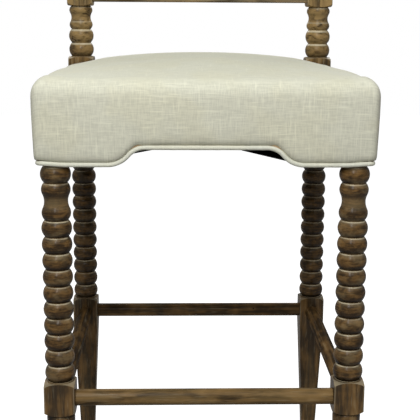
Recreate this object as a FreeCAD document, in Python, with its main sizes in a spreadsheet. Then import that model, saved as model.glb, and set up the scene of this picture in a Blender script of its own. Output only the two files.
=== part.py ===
import FreeCAD
import Part
import math
import os
import Sketcher

# A bar chair with bobbin-turned legs and back posts, round stretchers and an upholstered seat and back.
# Millimetres. +Z is up, the sitter faces -Y, and the origin is on the floor under the middle of the chair.

Vector = FreeCAD.Vector
Rotation = FreeCAD.Rotation

DIMENSIONS = (
    ("leg_spread", 420, "left leg axis to right leg axis"),
    ("leg_depth", 432, "front leg axis to rear post axis"),
    ("leg_stock", 44, "side of the square blocks on legs and posts"),
    ("block_edge", 1.5, "rounding of a block's long edges"),
    ("shoulder_drop", 6, "height of the turned shoulder on a block's corners"),
    ("shoulder_bend", 18, "radius of the turned shoulder's curve"),
    ("bead_radius", 21.6, "largest radius of a bead"),
    ("groove_radius", 17, "radius at the bottom of a groove"),
    ("groove_land", 0.8, "flat at the bottom of a groove"),
    ("front_low_beads", 10, "beads on a front leg below its neck"),
    ("front_high_beads", 1, "beads on a front leg above its neck"),
    ("rear_low_beads", 13, "beads on a post between stretcher and seat"),
    ("back_low_beads", 2, "beads on a post between seat and lower back rail"),
    ("back_high_beads", 5, "beads on a post between the back rails"),
    ("front_neck", 53.5, "length of the neck on a front leg"),
    ("front_neck_flank", 16.5, "length of each swelling of the front neck"),
    ("front_neck_bend", 14.5, "radius of each swelling of the front neck"),
    ("back_neck", 40, "length of a neck on a back post"),
    ("back_neck_flank", 11.6, "length of each swelling of a back neck"),
    ("back_neck_bend", 9.2, "radius of each swelling of a back neck"),
    ("neck_turn_radius", 19.2, "radius where a neck's swelling turns hollow"),
    ("neck_radius", 16.8, "narrowest radius of a neck"),
    ("stretcher_height", 293, "stretcher axes above the floor"),
    ("block_above", 28, "stretcher block above the stretcher axis"),
    ("block_below", 22, "stretcher block below the stretcher axis"),
    ("stretcher_radius", 12, "radius of a stretcher"),
    ("tenon_radius", 7, "radius of a stretcher's tenon"),
    ("tenon_length", 14, "length of a stretcher's tenon"),
    ("tenon_clearance", 0.1, "room round a tenon or dowel"),
    ("tenon_end_room", 0.6, "room past the end of a tenon or dowel"),
    ("foot_top_radius", 20.5, "front foot radius under its block"),
    ("foot_ring", 9, "height of the rounded top of a front foot"),
    ("foot_ring_bend", 10, "radius of the rounded top of a front foot"),
    ("foot_tip_radius", 12.5, "front foot radius at the floor"),
    ("rear_foot", 20, "side of a rear foot at the floor"),
    ("glide_radius", 9, "radius of a foot glide"),
    ("glide_thickness", 4, "thickness of a foot glide"),
    ("glide_nail_radius", 1.5, "radius of a glide's nail"),
    ("glide_nail_length", 16, "length of a glide's nail"),
    ("seat_rail_bottom", 644, "underside of the seat rails above the floor"),
    ("seat_rail_height", 72, "height of the seat rails"),
    ("seat_rail_thickness", 22, "thickness of the seat rails"),
    ("leg_collar", 7.7, "plain collar between a front leg's top bead and its seat block"),
    ("scallop_flat", 168, "level middle of the front rail's scallop"),
    ("scallop_run", 52, "length of each curved end of the scallop"),
    ("scallop_rise", 24, "height of the scallop"),
    ("dowel_radius", 5, "radius of a seat rail dowel"),
    ("dowel_reach", 18, "depth of a dowel in each piece"),
    ("dowel_margin", 17, "dowel axis to the top or bottom of the rail"),
    ("brace_gap", 46, "seat corner to the near edge of a corner block, along a rail"),
    ("brace_foot", 30, "length of a corner block's foot on a rail"),
    ("brace_height", 36, "height of a corner block"),
    ("brace_bottom", 30, "corner block above the underside of the rails"),
    ("screw_radius", 2.2, "radius of a corner block screw"),
    ("screw_head_radius", 4.2, "radius of a screw head"),
    ("screw_head_height", 3, "height of a screw head"),
    ("screw_seat", 8, "screw head to the rail"),
    ("screw_reach", 14, "depth of a screw in the rail"),
    ("screw_clearance", 0.2, "room round a screw and its head"),
    ("strap_width", 50, "width of a webbing strap"),
    ("strap_thickness", 1.2, "thickness of a webbing strap"),
    ("strap_count", 4, "straps each way"),
    ("strap_inset", 4, "strap end to the outside of the rail"),
    ("hessian_thickness", 0.8, "thickness of the cloth over the webbing"),
    ("padding", 4.3, "padding on the outside of the front and rear seat rails"),
    ("side_padding", 1.8, "padding on the outside of the side seat rails"),
    ("cover", 1.2, "thickness of the linen cover"),
    ("fabric_gap", 0.3, "room between a cover and what it wraps"),
    ("foam_edge", 36, "seat foam at its edges"),
    ("seat_crown", 24, "rise of the seat's middle above its edges"),
    ("seat_corner", 24, "rounding of the seat's top edges"),
    ("seat_plan_corner", 12, "rounding of the seat's upright corners"),
    ("seat_draw", 2.5, "how far the seat's sides draw in at the welt"),
    ("post_gap", 0.5, "room between the cover and a post"),
    ("post_shoulder_rise", 6.5, "post shoulder above the seat's edge"),
    ("welt_radius", 3, "radius of the piping"),
    ("welt_inset", 3, "outside of the piping in from the cover"),
    ("dust_cover_thickness", 0.8, "thickness of the black cloth under the seat"),
    ("dust_cover_inset", 9, "edge of the black cloth in from the outside of the rails"),
    ("dust_cover_peak", 28, "height of the black cloth's front edge behind the scallop"),
    ("leg_cut_gap", 3, "room between the black cloth and a leg"),
    ("staple_length", 11, "length of a staple's crown"),
    ("staple_wire", 0.7, "thickness of a staple"),
    ("staple_count", 5, "staples along each rail"),
    ("back_block", 50, "height of a post's block at a back rail"),
    ("back_rail_height", 36, "height of a back rail"),
    ("back_rail_thickness", 24, "thickness of a back rail"),
    ("back_rail_edge", 3, "rounding of a back rail's long edges"),
    ("back_crest", 8, "rise of the top rail's middle"),
    ("back_tenon_length", 20, "length of a back rail's tenon"),
    ("back_tenon_height", 24, "height of a back rail's tenon"),
    ("back_tenon_thickness", 12, "thickness of a back rail's tenon"),
    ("board_thickness", 9, "thickness of the back panel's board"),
    ("board_tongue", 8, "depth of the board in each rail's groove"),
    ("board_clearance", 0.2, "room round the board in a groove"),
    ("board_side_gap", 8, "board edge to the square of the post"),
    ("back_pad_gap", 2, "back pad to a back rail"),
    ("back_pad_edge", 18, "back pad at its edges"),
    ("back_pad_crown", 11, "rise of the back pad's middle"),
    ("back_pad_corner", 8, "rounding of the back pad's edges"),
    ("back_pad_plan_corner", 8, "rounding of the back pad's outline"),
    ("back_pad_draw", 1, "how far the back pad's sides draw in"),
    ("back_welt_radius", 2.5, "radius of the back pad's piping"),
    ("back_welt_gap", 0.3, "room between that piping and the board"),
    ("outside_edge", 4, "outside back panel at its edges"),
    ("outside_crown", 3, "rise of the outside back panel's middle"),
    ("outside_corner", 2.5, "rounding of the outside back panel's edges"),
)

doc = FreeCAD.newDocument("BobbinBarChair")
sheet = doc.addObject("Spreadsheet::Sheet", "dims")
for row, (alias, number, meaning) in enumerate(DIMENSIONS, start=1):
    sheet.set(f"A{row}", meaning)
    sheet.set(f"B{row}", str(number))
    sheet.setAlias(f"B{row}", alias)
doc.recompute()


def value(expression):
    """The number that an expression of the sheet's aliases comes to."""
    return float(sheet.evalExpression(expression))


def count(alias):
    return round(value(f"dims.{alias}"))


# Places that several pieces share, as expressions of the sheet's aliases
HALF_STOCK = "(dims.leg_stock / 2)"
LEG_X = "(dims.leg_spread / 2)"
SKIN = "(dims.padding + dims.fabric_gap + dims.cover)"
SIDE_SKIN = "(dims.side_padding + dims.fabric_gap + dims.cover + dims.seat_draw)"
DEPTH = f"(dims.leg_depth + dims.leg_stock + {SKIN})"
FRONT_Y = f"({SKIN} + {HALF_STOCK} - {DEPTH} / 2)"
REAR_Y = f"({DEPTH} / 2 - {HALF_STOCK})"
INNER_X = f"({LEG_X} - {HALF_STOCK})"
OUTER_X = f"({LEG_X} + {HALF_STOCK})"
FRONT_RAIL_Y = f"({FRONT_Y} - {HALF_STOCK} + dims.seat_rail_thickness)"
REAR_RAIL_BACK = f"({REAR_Y} + {HALF_STOCK} - {SKIN})"
REAR_RAIL_Y = f"({REAR_RAIL_BACK} - dims.seat_rail_thickness)"
SIDE_RAIL_X = f"({OUTER_X} - dims.seat_rail_thickness)"
POST_FRONT = f"({REAR_Y} - {HALF_STOCK})"
BLOCK_BOTTOM = "(dims.stretcher_height - dims.block_below)"
BLOCK_TOP = "(dims.stretcher_height + dims.block_above)"
FRONT_BEADS_TOP = "(dims.seat_rail_bottom - dims.leg_collar)"
PITCH = (
    f"(({FRONT_BEADS_TOP} - {BLOCK_TOP} - dims.front_neck)"
    " / (dims.front_low_beads + dims.front_high_beads))"
)
RAIL_TOP = "(dims.seat_rail_bottom + dims.seat_rail_height)"
STRAP_TOP = f"({RAIL_TOP} + 2 * dims.strap_thickness)"
DECK = f"({STRAP_TOP} + dims.hessian_thickness)"
SEAT_EDGE = f"({DECK} + dims.foam_edge + dims.fabric_gap + dims.cover)"
REAR_SEAT_BLOCK = f"({BLOCK_TOP} + dims.rear_low_beads * {PITCH})"
POST_SHOULDER = f"({SEAT_EDGE} + dims.post_shoulder_rise)"
LOW_NECK = f"({POST_SHOULDER} + dims.back_low_beads * {PITCH})"
LOW_BLOCK = f"({LOW_NECK} + dims.back_neck)"
LOW_BLOCK_TOP = f"({LOW_BLOCK} + dims.back_block)"
HIGH_NECK = f"({LOW_BLOCK_TOP} + dims.back_high_beads * {PITCH})"
TOP_BLOCK = f"({HIGH_NECK} + dims.back_neck)"
TOP_BLOCK_TOP = f"({TOP_BLOCK} + dims.back_block)"
RAIL_MARGIN = "((dims.back_block - dims.back_rail_height) / 2)"
OPENING_BOTTOM = f"({LOW_BLOCK_TOP} - {RAIL_MARGIN})"
OPENING_TOP = f"({TOP_BLOCK} + {RAIL_MARGIN})"

parts = []


def sub_part(piece, label):
    """Names a finished piece and keeps it for writing."""
    piece.Label = label
    parts.append(piece)
    return piece


def box(name, x, y, z):
    """A box between a low and a high expression on each axis."""
    piece = doc.addObject("Part::Box", name)
    for size, axis, (low, high) in (("Length", "x", x), ("Width", "y", y), ("Height", "z", z)):
        piece.setExpression(size, f"({high}) - ({low})")
        piece.setExpression(f"Placement.Base.{axis}", low)
    return piece


ALONG = {
    "x": Rotation(Vector(0, 1, 0), 90),
    "y": Rotation(Vector(1, 0, 0), -90),
    "z": Rotation(),
}


def rod(name, axis, start, end, centre, radius):
    """A cylinder along one axis, from start to end, with its centre on the other two axes."""
    piece = doc.addObject("Part::Cylinder", name)
    piece.Placement = FreeCAD.Placement(Vector(), ALONG[axis])
    piece.setExpression("Radius", radius)
    piece.setExpression("Height", f"({end}) - ({start})")
    piece.setExpression(f"Placement.Base.{axis}", start)
    for other, place in zip([a for a in "xyz" if a != axis], centre):
        piece.setExpression(f"Placement.Base.{other}", place)
    return piece


def cut(name, base, tools):
    """The base with every tool taken out of it."""
    tool = doc.addObject("Part::Compound", f"{name}_tools")
    tool.Links = tools
    piece = doc.addObject("Part::Cut", name)
    piece.Base = base
    piece.Tool = tool
    return piece


def fuse(name, members):
    piece = doc.addObject("Part::MultiFuse", name)
    piece.Shapes = members
    return piece


def group(name, members):
    """Separate like solids kept as one piece."""
    piece = doc.addObject("Part::Compound", name)
    piece.Links = members
    return piece


def mirrored(name, source):
    """The same piece on the other side of the chair."""
    piece = doc.addObject("Part::Mirroring", name)
    piece.Source = source
    piece.Normal = (1, 0, 0)
    return piece


def solid_piece(name, shape, place=None):
    piece = doc.addObject("Part::Feature", name)
    piece.Shape = shape
    piece.Placement = place or FreeCAD.Placement()
    return piece


# Sketches

def plane_of(body, role):
    return next(f for f in body.Origin.OriginFeatures if f.Role == role)


def sketch_on(body, role, name, offset=None):
    """A sketch on one of the body's own planes, moved along the plane's normal by an expression."""
    sketch = body.newObject("Sketcher::SketchObject", name)
    sketch.AttachmentSupport = [(plane_of(body, role), "")]
    sketch.MapMode = "FlatFace"
    if offset:
        sketch.setExpression("AttachmentOffset.Base.z", offset)
    return sketch


def arc_between(start, end, radius):
    """An arc from start to end and whether it runs backwards; a positive radius bulges to the right."""
    chord = end - start
    reach = chord.Length / 2
    height = math.sqrt(radius * radius - reach * reach)
    side = Vector(-chord.y, chord.x, 0).normalize() * math.copysign(height, radius)
    centre = (start + end) / 2 + side
    first, last = (start, end) if radius > 0 else (end, start)
    angles = [math.atan2(p.y - centre.y, p.x - centre.x) for p in (first, last)]
    circle = Part.Circle(centre, Vector(0, 0, 1), abs(radius))
    return Part.ArcOfCircle(circle, angles[0], angles[1]), radius < 0


def draw(sketch, corners):
    """Closes a chain of lines and arcs through corners, each one two expressions.

    A third expression is the radius of the arc that leaves the corner: it bulges to the right of
    the way the chain goes, or to the left where it is negative.
    """
    points = [Vector(value(c[0]), value(c[1]), 0) for c in corners]
    first = sketch.GeometryCount
    starts = []
    ends = []
    bends = []
    for index, corner in enumerate(corners):
        start = points[index]
        end = points[(index + 1) % len(points)]
        if len(corner) > 2:
            edge, backwards = arc_between(start, end, value(corner[2]))
            bends.append((first + index, corner[2]))
        else:
            edge, backwards = Part.LineSegment(start, end), False
        sketch.addGeometry(edge, False)
        starts.append((first + index, 2 if backwards else 1))
        ends.append((first + index, 1 if backwards else 2))
    rules = [Sketcher.Constraint("Coincident", *ends[i - 1], *starts[i]) for i in range(len(corners))]
    sizes = []
    for index, corner in enumerate(corners):
        for kind, axis, expression, place in (
            ("DistanceX", -2, corner[0], points[index].x),
            ("DistanceY", -1, corner[1], points[index].y),
        ):
            if expression == "0":
                rules.append(Sketcher.Constraint("PointOnObject", *starts[index], axis))
                continue
            sizes.append((len(rules), expression))
            rules.append(Sketcher.Constraint(kind, -1, 1, *starts[index], place))
    for edge, radius in bends:
        sizes.append((len(rules), f"abs({radius})"))
        rules.append(Sketcher.Constraint("Radius", edge, abs(value(radius))))
    before = sketch.ConstraintCount
    sketch.addConstraint(rules)
    for number, expression in sizes:
        sketch.setExpression(f"Constraints[{before + number}]", expression)


def rounded_rectangle(half_u, low_v, high_v, radius):
    """Corners of a rectangle about the vertical axis, with rounded corners, anticlockwise."""
    return [
        (f"{radius} - {half_u}", low_v),
        (f"{half_u} - {radius}", low_v, radius),
        (half_u, f"{low_v} + {radius}"),
        (half_u, f"{high_v} - {radius}", radius),
        (f"{half_u} - {radius}", high_v),
        (f"{radius} - {half_u}", high_v, radius),
        (f"-({half_u})", f"{high_v} - {radius}"),
        (f"-({half_u})", f"{low_v} + {radius}", radius),
    ]


# Turned legs and posts

def bead_run(start, beads):
    """Corners of a run of beads, upwards from a height."""
    reach = f"({PITCH} / 2 - dims.groove_land / 2)"
    swell = "(dims.bead_radius - dims.groove_radius)"
    bend = f"({reach} * {reach} + {swell} * {swell}) / (2 * {swell})"
    corners = []
    for bead in range(beads):
        low = f"{start} + {bead} * {PITCH} + dims.groove_land / 2"
        corners.append(("dims.groove_radius", low, bend))
        corners.append(("dims.groove_radius", f"{low} + 2 * {reach}"))
    return corners


def neck(start, which):
    """Corners of a neck: two swellings with a long hollow between them."""
    length = f"dims.{which}_neck"
    flank = f"dims.{which}_neck_flank"
    bend = f"dims.{which}_neck_bend"
    reach = f"({length} / 2 - {flank})"
    hollow = "(dims.neck_turn_radius - dims.neck_radius)"
    land = "dims.groove_land / 2"
    return [
        ("dims.groove_radius", f"{start} + {land}", bend),
        ("dims.neck_turn_radius", f"{start} + {flank}",
         f"-({reach} * {reach} + {hollow} * {hollow}) / (2 * {hollow})"),
        ("dims.neck_turn_radius", f"{start} + {length} - {flank}", bend),
        ("dims.groove_radius", f"{start} + {length} - {land}"),
    ]


def square_block(body, name, bottom, top, shoulders):
    """A square block on a turned piece, with turned shoulders where its ends meet round work."""
    plan = sketch_on(body, "XY_Plane", f"{name}_plan", bottom)
    draw(plan, rounded_rectangle(HALF_STOCK, f"-{HALF_STOCK}", HALF_STOCK, "dims.block_edge"))
    pad = body.newObject("PartDesign::Pad", name)
    pad.Profile = plan
    pad.setExpression("Length", f"{top} - {bottom}")
    doc.recompute()
    for end in shoulders:
        height, way = (top, "-") if end == "top" else (bottom, "+")
        outline = sketch_on(body, "XZ_Plane", f"{name}_{end}_outline")
        outside = f"({HALF_STOCK} * sqrt(2))"
        rim = f"{height} {'+' if way == '-' else '-'} dims.shoulder_drop"
        corner = f"{height} {way} dims.shoulder_drop"
        bend = "-dims.shoulder_bend" if end == "top" else "dims.shoulder_bend"
        draw(outline, [
            ("dims.groove_radius", height, bend),
            (outside, corner),
            (outside, rim),
            ("dims.groove_radius", rim),
        ])
        groove = body.newObject("PartDesign::Groove", f"{name}_{end}_shoulder")
        groove.Profile = outline
        groove.ReferenceAxis = (outline, ["V_Axis"])
        groove.Angle = 360
        before = body.Shape.Volume
        doc.recompute()
        if body.Shape.Volume >= before:
            raise RuntimeError(f"{name}: its {end} shoulder cut nothing")


def turn(body, name, low, high, corners):
    """Round work about the body's upright axis, with a plain core from low to high."""
    outline = sketch_on(body, "XZ_Plane", f"{name}_outline")
    core = [("0", high), ("0", low), ("dims.groove_radius", low)]
    draw(outline, core + corners + [("dims.groove_radius", high)])
    revolution = body.newObject("PartDesign::Revolution", name)
    revolution.Profile = outline
    revolution.ReferenceAxis = (outline, ["V_Axis"])
    revolution.Angle = 360
    doc.recompute()


def turned_body(name, y):
    body = doc.addObject("PartDesign::Body", name)
    body.AllowCompound = True
    body.setExpression("Placement.Base.x", f"-{LEG_X}")
    body.setExpression("Placement.Base.y", y)
    return body


def front_leg_body():
    body = turned_body("front_leg_body", FRONT_Y)
    square_block(body, "stretcher_block", BLOCK_BOTTOM, BLOCK_TOP, ("top", "bottom"))
    square_block(body, "seat_block", "dims.seat_rail_bottom", RAIL_TOP, ())
    neck_start = f"({BLOCK_TOP} + dims.front_low_beads * {PITCH})"
    corners = bead_run(BLOCK_TOP, count("front_low_beads"))
    corners += neck(neck_start, "front")
    corners += bead_run(f"({neck_start} + dims.front_neck)", count("front_high_beads"))
    turn(body, "leg_turning", "dims.stretcher_height", RAIL_TOP, corners)
    outline = sketch_on(body, "XZ_Plane", "foot_outline")
    draw(outline, [
        ("0", "dims.glide_thickness"),
        ("dims.foot_tip_radius", "dims.glide_thickness"),
        ("dims.foot_top_radius", f"{BLOCK_BOTTOM} - dims.foot_ring", "dims.foot_ring_bend"),
        ("dims.groove_radius", BLOCK_BOTTOM),
        ("dims.groove_radius", "dims.stretcher_height"),
        ("0", "dims.stretcher_height"),
    ])
    foot = body.newObject("PartDesign::Revolution", "foot_turning")
    foot.Profile = outline
    foot.ReferenceAxis = (outline, ["V_Axis"])
    foot.Angle = 360
    doc.recompute()
    return body


def rear_post_body():
    body = turned_body("rear_post_body", REAR_Y)
    square_block(body, "stretcher_block", BLOCK_BOTTOM, BLOCK_TOP, ("top",))
    square_block(body, "seat_block", REAR_SEAT_BLOCK, POST_SHOULDER, ("top", "bottom"))
    square_block(body, "low_block", LOW_BLOCK, LOW_BLOCK_TOP, ("top", "bottom"))
    square_block(body, "top_block", TOP_BLOCK, TOP_BLOCK_TOP, ("top", "bottom"))
    upper = sketch_on(body, "XY_Plane", "taper_top", BLOCK_BOTTOM)
    draw(upper, rounded_rectangle(HALF_STOCK, f"-{HALF_STOCK}", HALF_STOCK, "dims.block_edge"))
    lower = sketch_on(body, "XY_Plane", "taper_foot", "dims.glide_thickness")
    half_foot = "(dims.rear_foot / 2)"
    draw(lower, rounded_rectangle(half_foot, f"-{half_foot}", half_foot, "dims.block_edge"))
    taper = body.newObject("PartDesign::AdditiveLoft", "taper")
    taper.Profile = upper
    taper.Sections = [lower]
    doc.recompute()
    turn(body, "leg_turning", "dims.stretcher_height", "dims.seat_rail_bottom",
         bead_run(BLOCK_TOP, count("rear_low_beads")))
    low_corners = bead_run(POST_SHOULDER, count("back_low_beads")) + neck(LOW_NECK, "back")
    turn(body, "low_turning", RAIL_TOP, f"{LOW_BLOCK} + dims.back_block / 2", low_corners)
    high_corners = bead_run(LOW_BLOCK_TOP, count("back_high_beads")) + neck(HIGH_NECK, "back")
    turn(body, "high_turning", f"{LOW_BLOCK_TOP} - dims.back_block / 2",
         f"{TOP_BLOCK} + dims.back_block / 2", high_corners)
    turn(body, "finial", f"{TOP_BLOCK_TOP} - dims.back_block / 2", f"{TOP_BLOCK_TOP} + {PITCH}",
         bead_run(TOP_BLOCK_TOP, 1))
    return body


# Joints of the frame

STRETCHER_LIP = f"({HALF_STOCK} - dims.tenon_length - dims.tenon_end_room)"
TENON_HOLE = "(dims.tenon_radius + dims.tenon_clearance)"
NAIL_TOP = "(dims.glide_thickness + dims.glide_nail_length)"
DOWEL_HOLE = "(dims.dowel_radius + dims.tenon_clearance)"
DOWEL_ROOM = "(dims.dowel_reach + dims.tenon_end_room)"
DOWEL_HEIGHTS = (
    "(dims.seat_rail_bottom + dims.dowel_margin)",
    f"({RAIL_TOP} - dims.dowel_margin)",
)
FRONT_DOWEL_Y = f"({FRONT_RAIL_Y} - dims.seat_rail_thickness / 2)"
REAR_DOWEL_Y = f"({REAR_RAIL_Y} + dims.seat_rail_thickness / 2)"
SIDE_DOWEL_X = f"({OUTER_X} - dims.seat_rail_thickness / 2)"


def leg_sockets(name, y, inward, dowel_y):
    """Holes in a left leg for its two stretchers, the dowels of its two seat rails and its glide's nail."""
    height = "dims.stretcher_height"
    face = f"({y} {inward} {HALF_STOCK})"
    lip = f"({y} {inward} {STRETCHER_LIP})"
    span = (lip, face) if inward == "+" else (face, lip)
    holes = [
        rod(f"{name}_cross_mortise", "x", f"-{LEG_X} + {STRETCHER_LIP}", f"-{INNER_X}",
            (y, height), TENON_HOLE),
        rod(f"{name}_side_mortise", "y", *span, (f"-{LEG_X}", height), TENON_HOLE),
        rod(f"{name}_nail_hole", "z", "0", f"{NAIL_TOP} + dims.tenon_end_room", (f"-{LEG_X}", y),
            "dims.glide_nail_radius + dims.tenon_clearance"),
    ]
    depth = f"({face} - {DOWEL_ROOM})" if inward == "+" else f"({face} + {DOWEL_ROOM})"
    span = (depth, face) if inward == "+" else (face, depth)
    for level in DOWEL_HEIGHTS:
        holes.append(rod(f"{name}_cross_dowel_hole", "x", f"-{INNER_X} - {DOWEL_ROOM}", f"-{INNER_X}",
                         (dowel_y, level), DOWEL_HOLE))
        holes.append(rod(f"{name}_side_dowel_hole", "y", *span, (f"-{SIDE_DOWEL_X}", level), DOWEL_HOLE))
    return holes


def back_mortise(name, bottom):
    """The hole in a left post for a back rail's tenon."""
    middle = f"({bottom} + dims.back_block / 2)"
    tall = "(dims.back_tenon_height / 2 + dims.tenon_clearance)"
    thick = "(dims.back_tenon_thickness / 2 + dims.tenon_clearance)"
    return box(name, (f"-{INNER_X} - dims.back_tenon_length - dims.tenon_end_room", f"-{INNER_X}"),
               (f"{REAR_Y} - {thick}", f"{REAR_Y} + {thick}"), (f"{middle} - {tall}", f"{middle} + {tall}"))


def make_legs():
    leg = cut("front_leg", front_leg_body(), leg_sockets("front_leg", FRONT_Y, "+", FRONT_DOWEL_Y))
    sub_part(leg, "front_leg_left")
    sub_part(mirrored("front_leg_mirror", leg), "front_leg_right")
    holes = leg_sockets("rear_post", REAR_Y, "-", REAR_DOWEL_Y)
    holes.append(back_mortise("low_mortise", LOW_BLOCK))
    holes.append(back_mortise("top_mortise", TOP_BLOCK))
    post = cut("rear_post", rear_post_body(), holes)
    sub_part(post, "rear_post_left")
    sub_part(mirrored("rear_post_mirror", post), "rear_post_right")


def stretcher(name, axis, start, end, centre):
    """A round rail between two faces, with a tenon on each end."""
    return fuse(name, [
        rod(f"{name}_rail", axis, start, end, centre, "dims.stretcher_radius"),
        rod(f"{name}_tenons", axis, f"{start} - dims.tenon_length", f"{end} + dims.tenon_length",
            centre, "dims.tenon_radius"),
    ])


def make_stretchers():
    height = "dims.stretcher_height"
    for name, y in (("front_stretcher", FRONT_Y), ("rear_stretcher", REAR_Y)):
        sub_part(stretcher(f"{name}_turning", "x", f"-{INNER_X}", INNER_X, (y, height)), name)
    side = stretcher("side_stretcher", "y", f"{FRONT_Y} + {HALF_STOCK}", POST_FRONT, (f"-{LEG_X}", height))
    sub_part(side, "side_stretcher_left")
    sub_part(mirrored("side_stretcher_mirror", side), "side_stretcher_right")


def make_glides():
    glides = []
    for y in (FRONT_Y, REAR_Y):
        for x in (f"-{LEG_X}", LEG_X):
            glides.append(fuse("glide", [
                rod("glide_disc", "z", "0", "dims.glide_thickness", (x, y), "dims.glide_radius"),
                rod("glide_nail", "z", "0", NAIL_TOP, (x, y), "dims.glide_nail_radius"),
            ]))
    sub_part(group("glides", glides), "foot_glides")


# Seat frame

def ogee(radius_change, low_z):
    """Points of the scallop's left curve: its low end, a point of each arc, the turn and its high end."""
    flat = value("dims.scallop_flat / 2")
    run = value("dims.scallop_run")
    rise = value("dims.scallop_rise")
    bend = (run * run + rise * rise) / (4 * rise)
    low_centre = Vector(-flat - run, 0, low_z + bend)
    high_centre = Vector(-flat, 0, low_z + rise - bend)
    slope = 2 * math.atan2(rise, run)
    points = []
    for centre, radius, angle, way in (
        (low_centre, bend + radius_change, 0, -1),
        (low_centre, bend + radius_change, slope / 2, -1),
        (low_centre, bend + radius_change, slope, -1),
        (high_centre, bend - radius_change, slope / 2, 1),
        (high_centre, bend - radius_change, 0, 1),
    ):
        points.append(centre + Vector(-way * radius * math.sin(angle), 0, way * radius * math.cos(angle)))
    return points


def scallop_cutter():
    """What the scallop takes out of the front rail, its padding and the cover."""
    body = doc.addObject("PartDesign::Body", "scallop")
    outline = sketch_on(body, "XZ_Plane", "scallop_outline")
    flat = "(dims.scallop_flat / 2)"
    run = "dims.scallop_run"
    rise = "dims.scallop_rise"
    low = "dims.seat_rail_bottom"
    bend = f"({run} * {run} + {rise} * {rise}) / (4 * {rise})"
    end = f"({flat} + {run})"
    turn_x = f"({flat} + {run} / 2)"
    draw(outline, [
        (f"-{end}", f"{low} - {rise}"),
        (end, f"{low} - {rise}"),
        (end, low, f"-{bend}"),
        (turn_x, f"{low} + {rise} / 2", bend),
        (flat, f"{low} + {rise}"),
        (f"-{flat}", f"{low} + {rise}", bend),
        (f"-{turn_x}", f"{low} + {rise} / 2", f"-{bend}"),
        (f"-{end}", low),
    ])
    pad = body.newObject("PartDesign::Pad", "scallop_depth")
    pad.Profile = outline
    pad.setExpression("Length", "2 * dims.leg_stock")
    pad.Midplane = True
    body.setExpression("Placement.Base.y", f"{FRONT_Y} - {HALF_STOCK}")
    doc.recompute()
    return body


def rail_dowel_holes(name, axis, low, high, centre):
    """Dowel holes in both ends of a seat rail."""
    holes = []
    for level in DOWEL_HEIGHTS:
        place = (centre, level)
        holes.append(rod(f"{name}_hole", axis, low, f"{low} + {DOWEL_ROOM}", place, DOWEL_HOLE))
        holes.append(rod(f"{name}_hole", axis, f"{high} - {DOWEL_ROOM}", high, place, DOWEL_HOLE))
    return holes


BRACE_MIDDLE = "(dims.brace_gap + dims.brace_foot / 2)"
BRACE_Z = "(dims.seat_rail_bottom + dims.brace_bottom)"
SCREW_Z = f"({BRACE_Z} + dims.brace_height / 2)"


def brace_screws(name, rail_y, inward, grow, head_end):
    """The two screws of a left corner block, made larger by grow, each head lengthened to head_end."""
    outward = "-" if inward == "+" else "+"
    x = f"(-{SIDE_RAIL_X} + {BRACE_MIDDLE})"
    y = f"({rail_y} {inward} {BRACE_MIDDLE})"
    reach = f"(dims.screw_reach + {grow})"
    radius = f"(dims.screw_radius + {grow})"
    head = f"(dims.screw_head_radius + {grow})"
    seat = f"(dims.screw_seat - {grow})"

    def span(near, far):
        ends = (f"{rail_y} {inward} {near}", f"{rail_y} {inward} {far}")
        return ends if inward == "+" else ends[::-1]

    tip = (f"{rail_y} {outward} {reach}", f"{rail_y} {inward} {seat}")
    return [
        fuse(f"{name}_end_screw", [
            rod(f"{name}_end_shank", "y", *(tip if inward == "+" else tip[::-1]), (x, SCREW_Z), radius),
            rod(f"{name}_end_head", "y", *span(seat, head_end), (x, SCREW_Z), head),
        ]),
        fuse(f"{name}_side_screw", [
            rod(f"{name}_side_shank", "x", f"-{SIDE_RAIL_X} - {reach}", f"-{SIDE_RAIL_X} + {seat}",
                (y, SCREW_Z), radius),
            rod(f"{name}_side_head", "x", f"-{SIDE_RAIL_X} + {seat}", f"-{SIDE_RAIL_X} + {head_end}",
                (y, SCREW_Z), head),
        ]),
    ]


SCREW_HEAD_END = "(dims.screw_seat + dims.screw_head_height)"
SCREW_WAY_OUT = "(dims.brace_gap + dims.brace_foot)"
CORNERS = (("front", FRONT_RAIL_Y, "+"), ("rear", REAR_RAIL_Y, "-"))


def corner_block(end, rail_y, inward):
    """A block set across a left corner of the seat frame, flat against both rails."""
    body = doc.addObject("PartDesign::Body", f"corner_block_{end}_body")
    plan = sketch_on(body, "XY_Plane", f"corner_block_{end}_plan")
    near = "dims.brace_gap"
    far = "(dims.brace_gap + dims.brace_foot)"
    minus = "" if inward == "+" else "-"
    corners = [(near, "0"), (far, "0"), ("0", f"{minus}{far}"), ("0", f"{minus}{near}")]
    draw(plan, corners)
    pad = body.newObject("PartDesign::Pad", f"corner_block_{end}_height")
    pad.Profile = plan
    pad.setExpression("Length", "dims.brace_height")
    body.setExpression("Placement.Base.x", f"-{SIDE_RAIL_X}")
    body.setExpression("Placement.Base.y", rail_y)
    body.setExpression("Placement.Base.z", BRACE_Z)
    doc.recompute()
    return body


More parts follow.
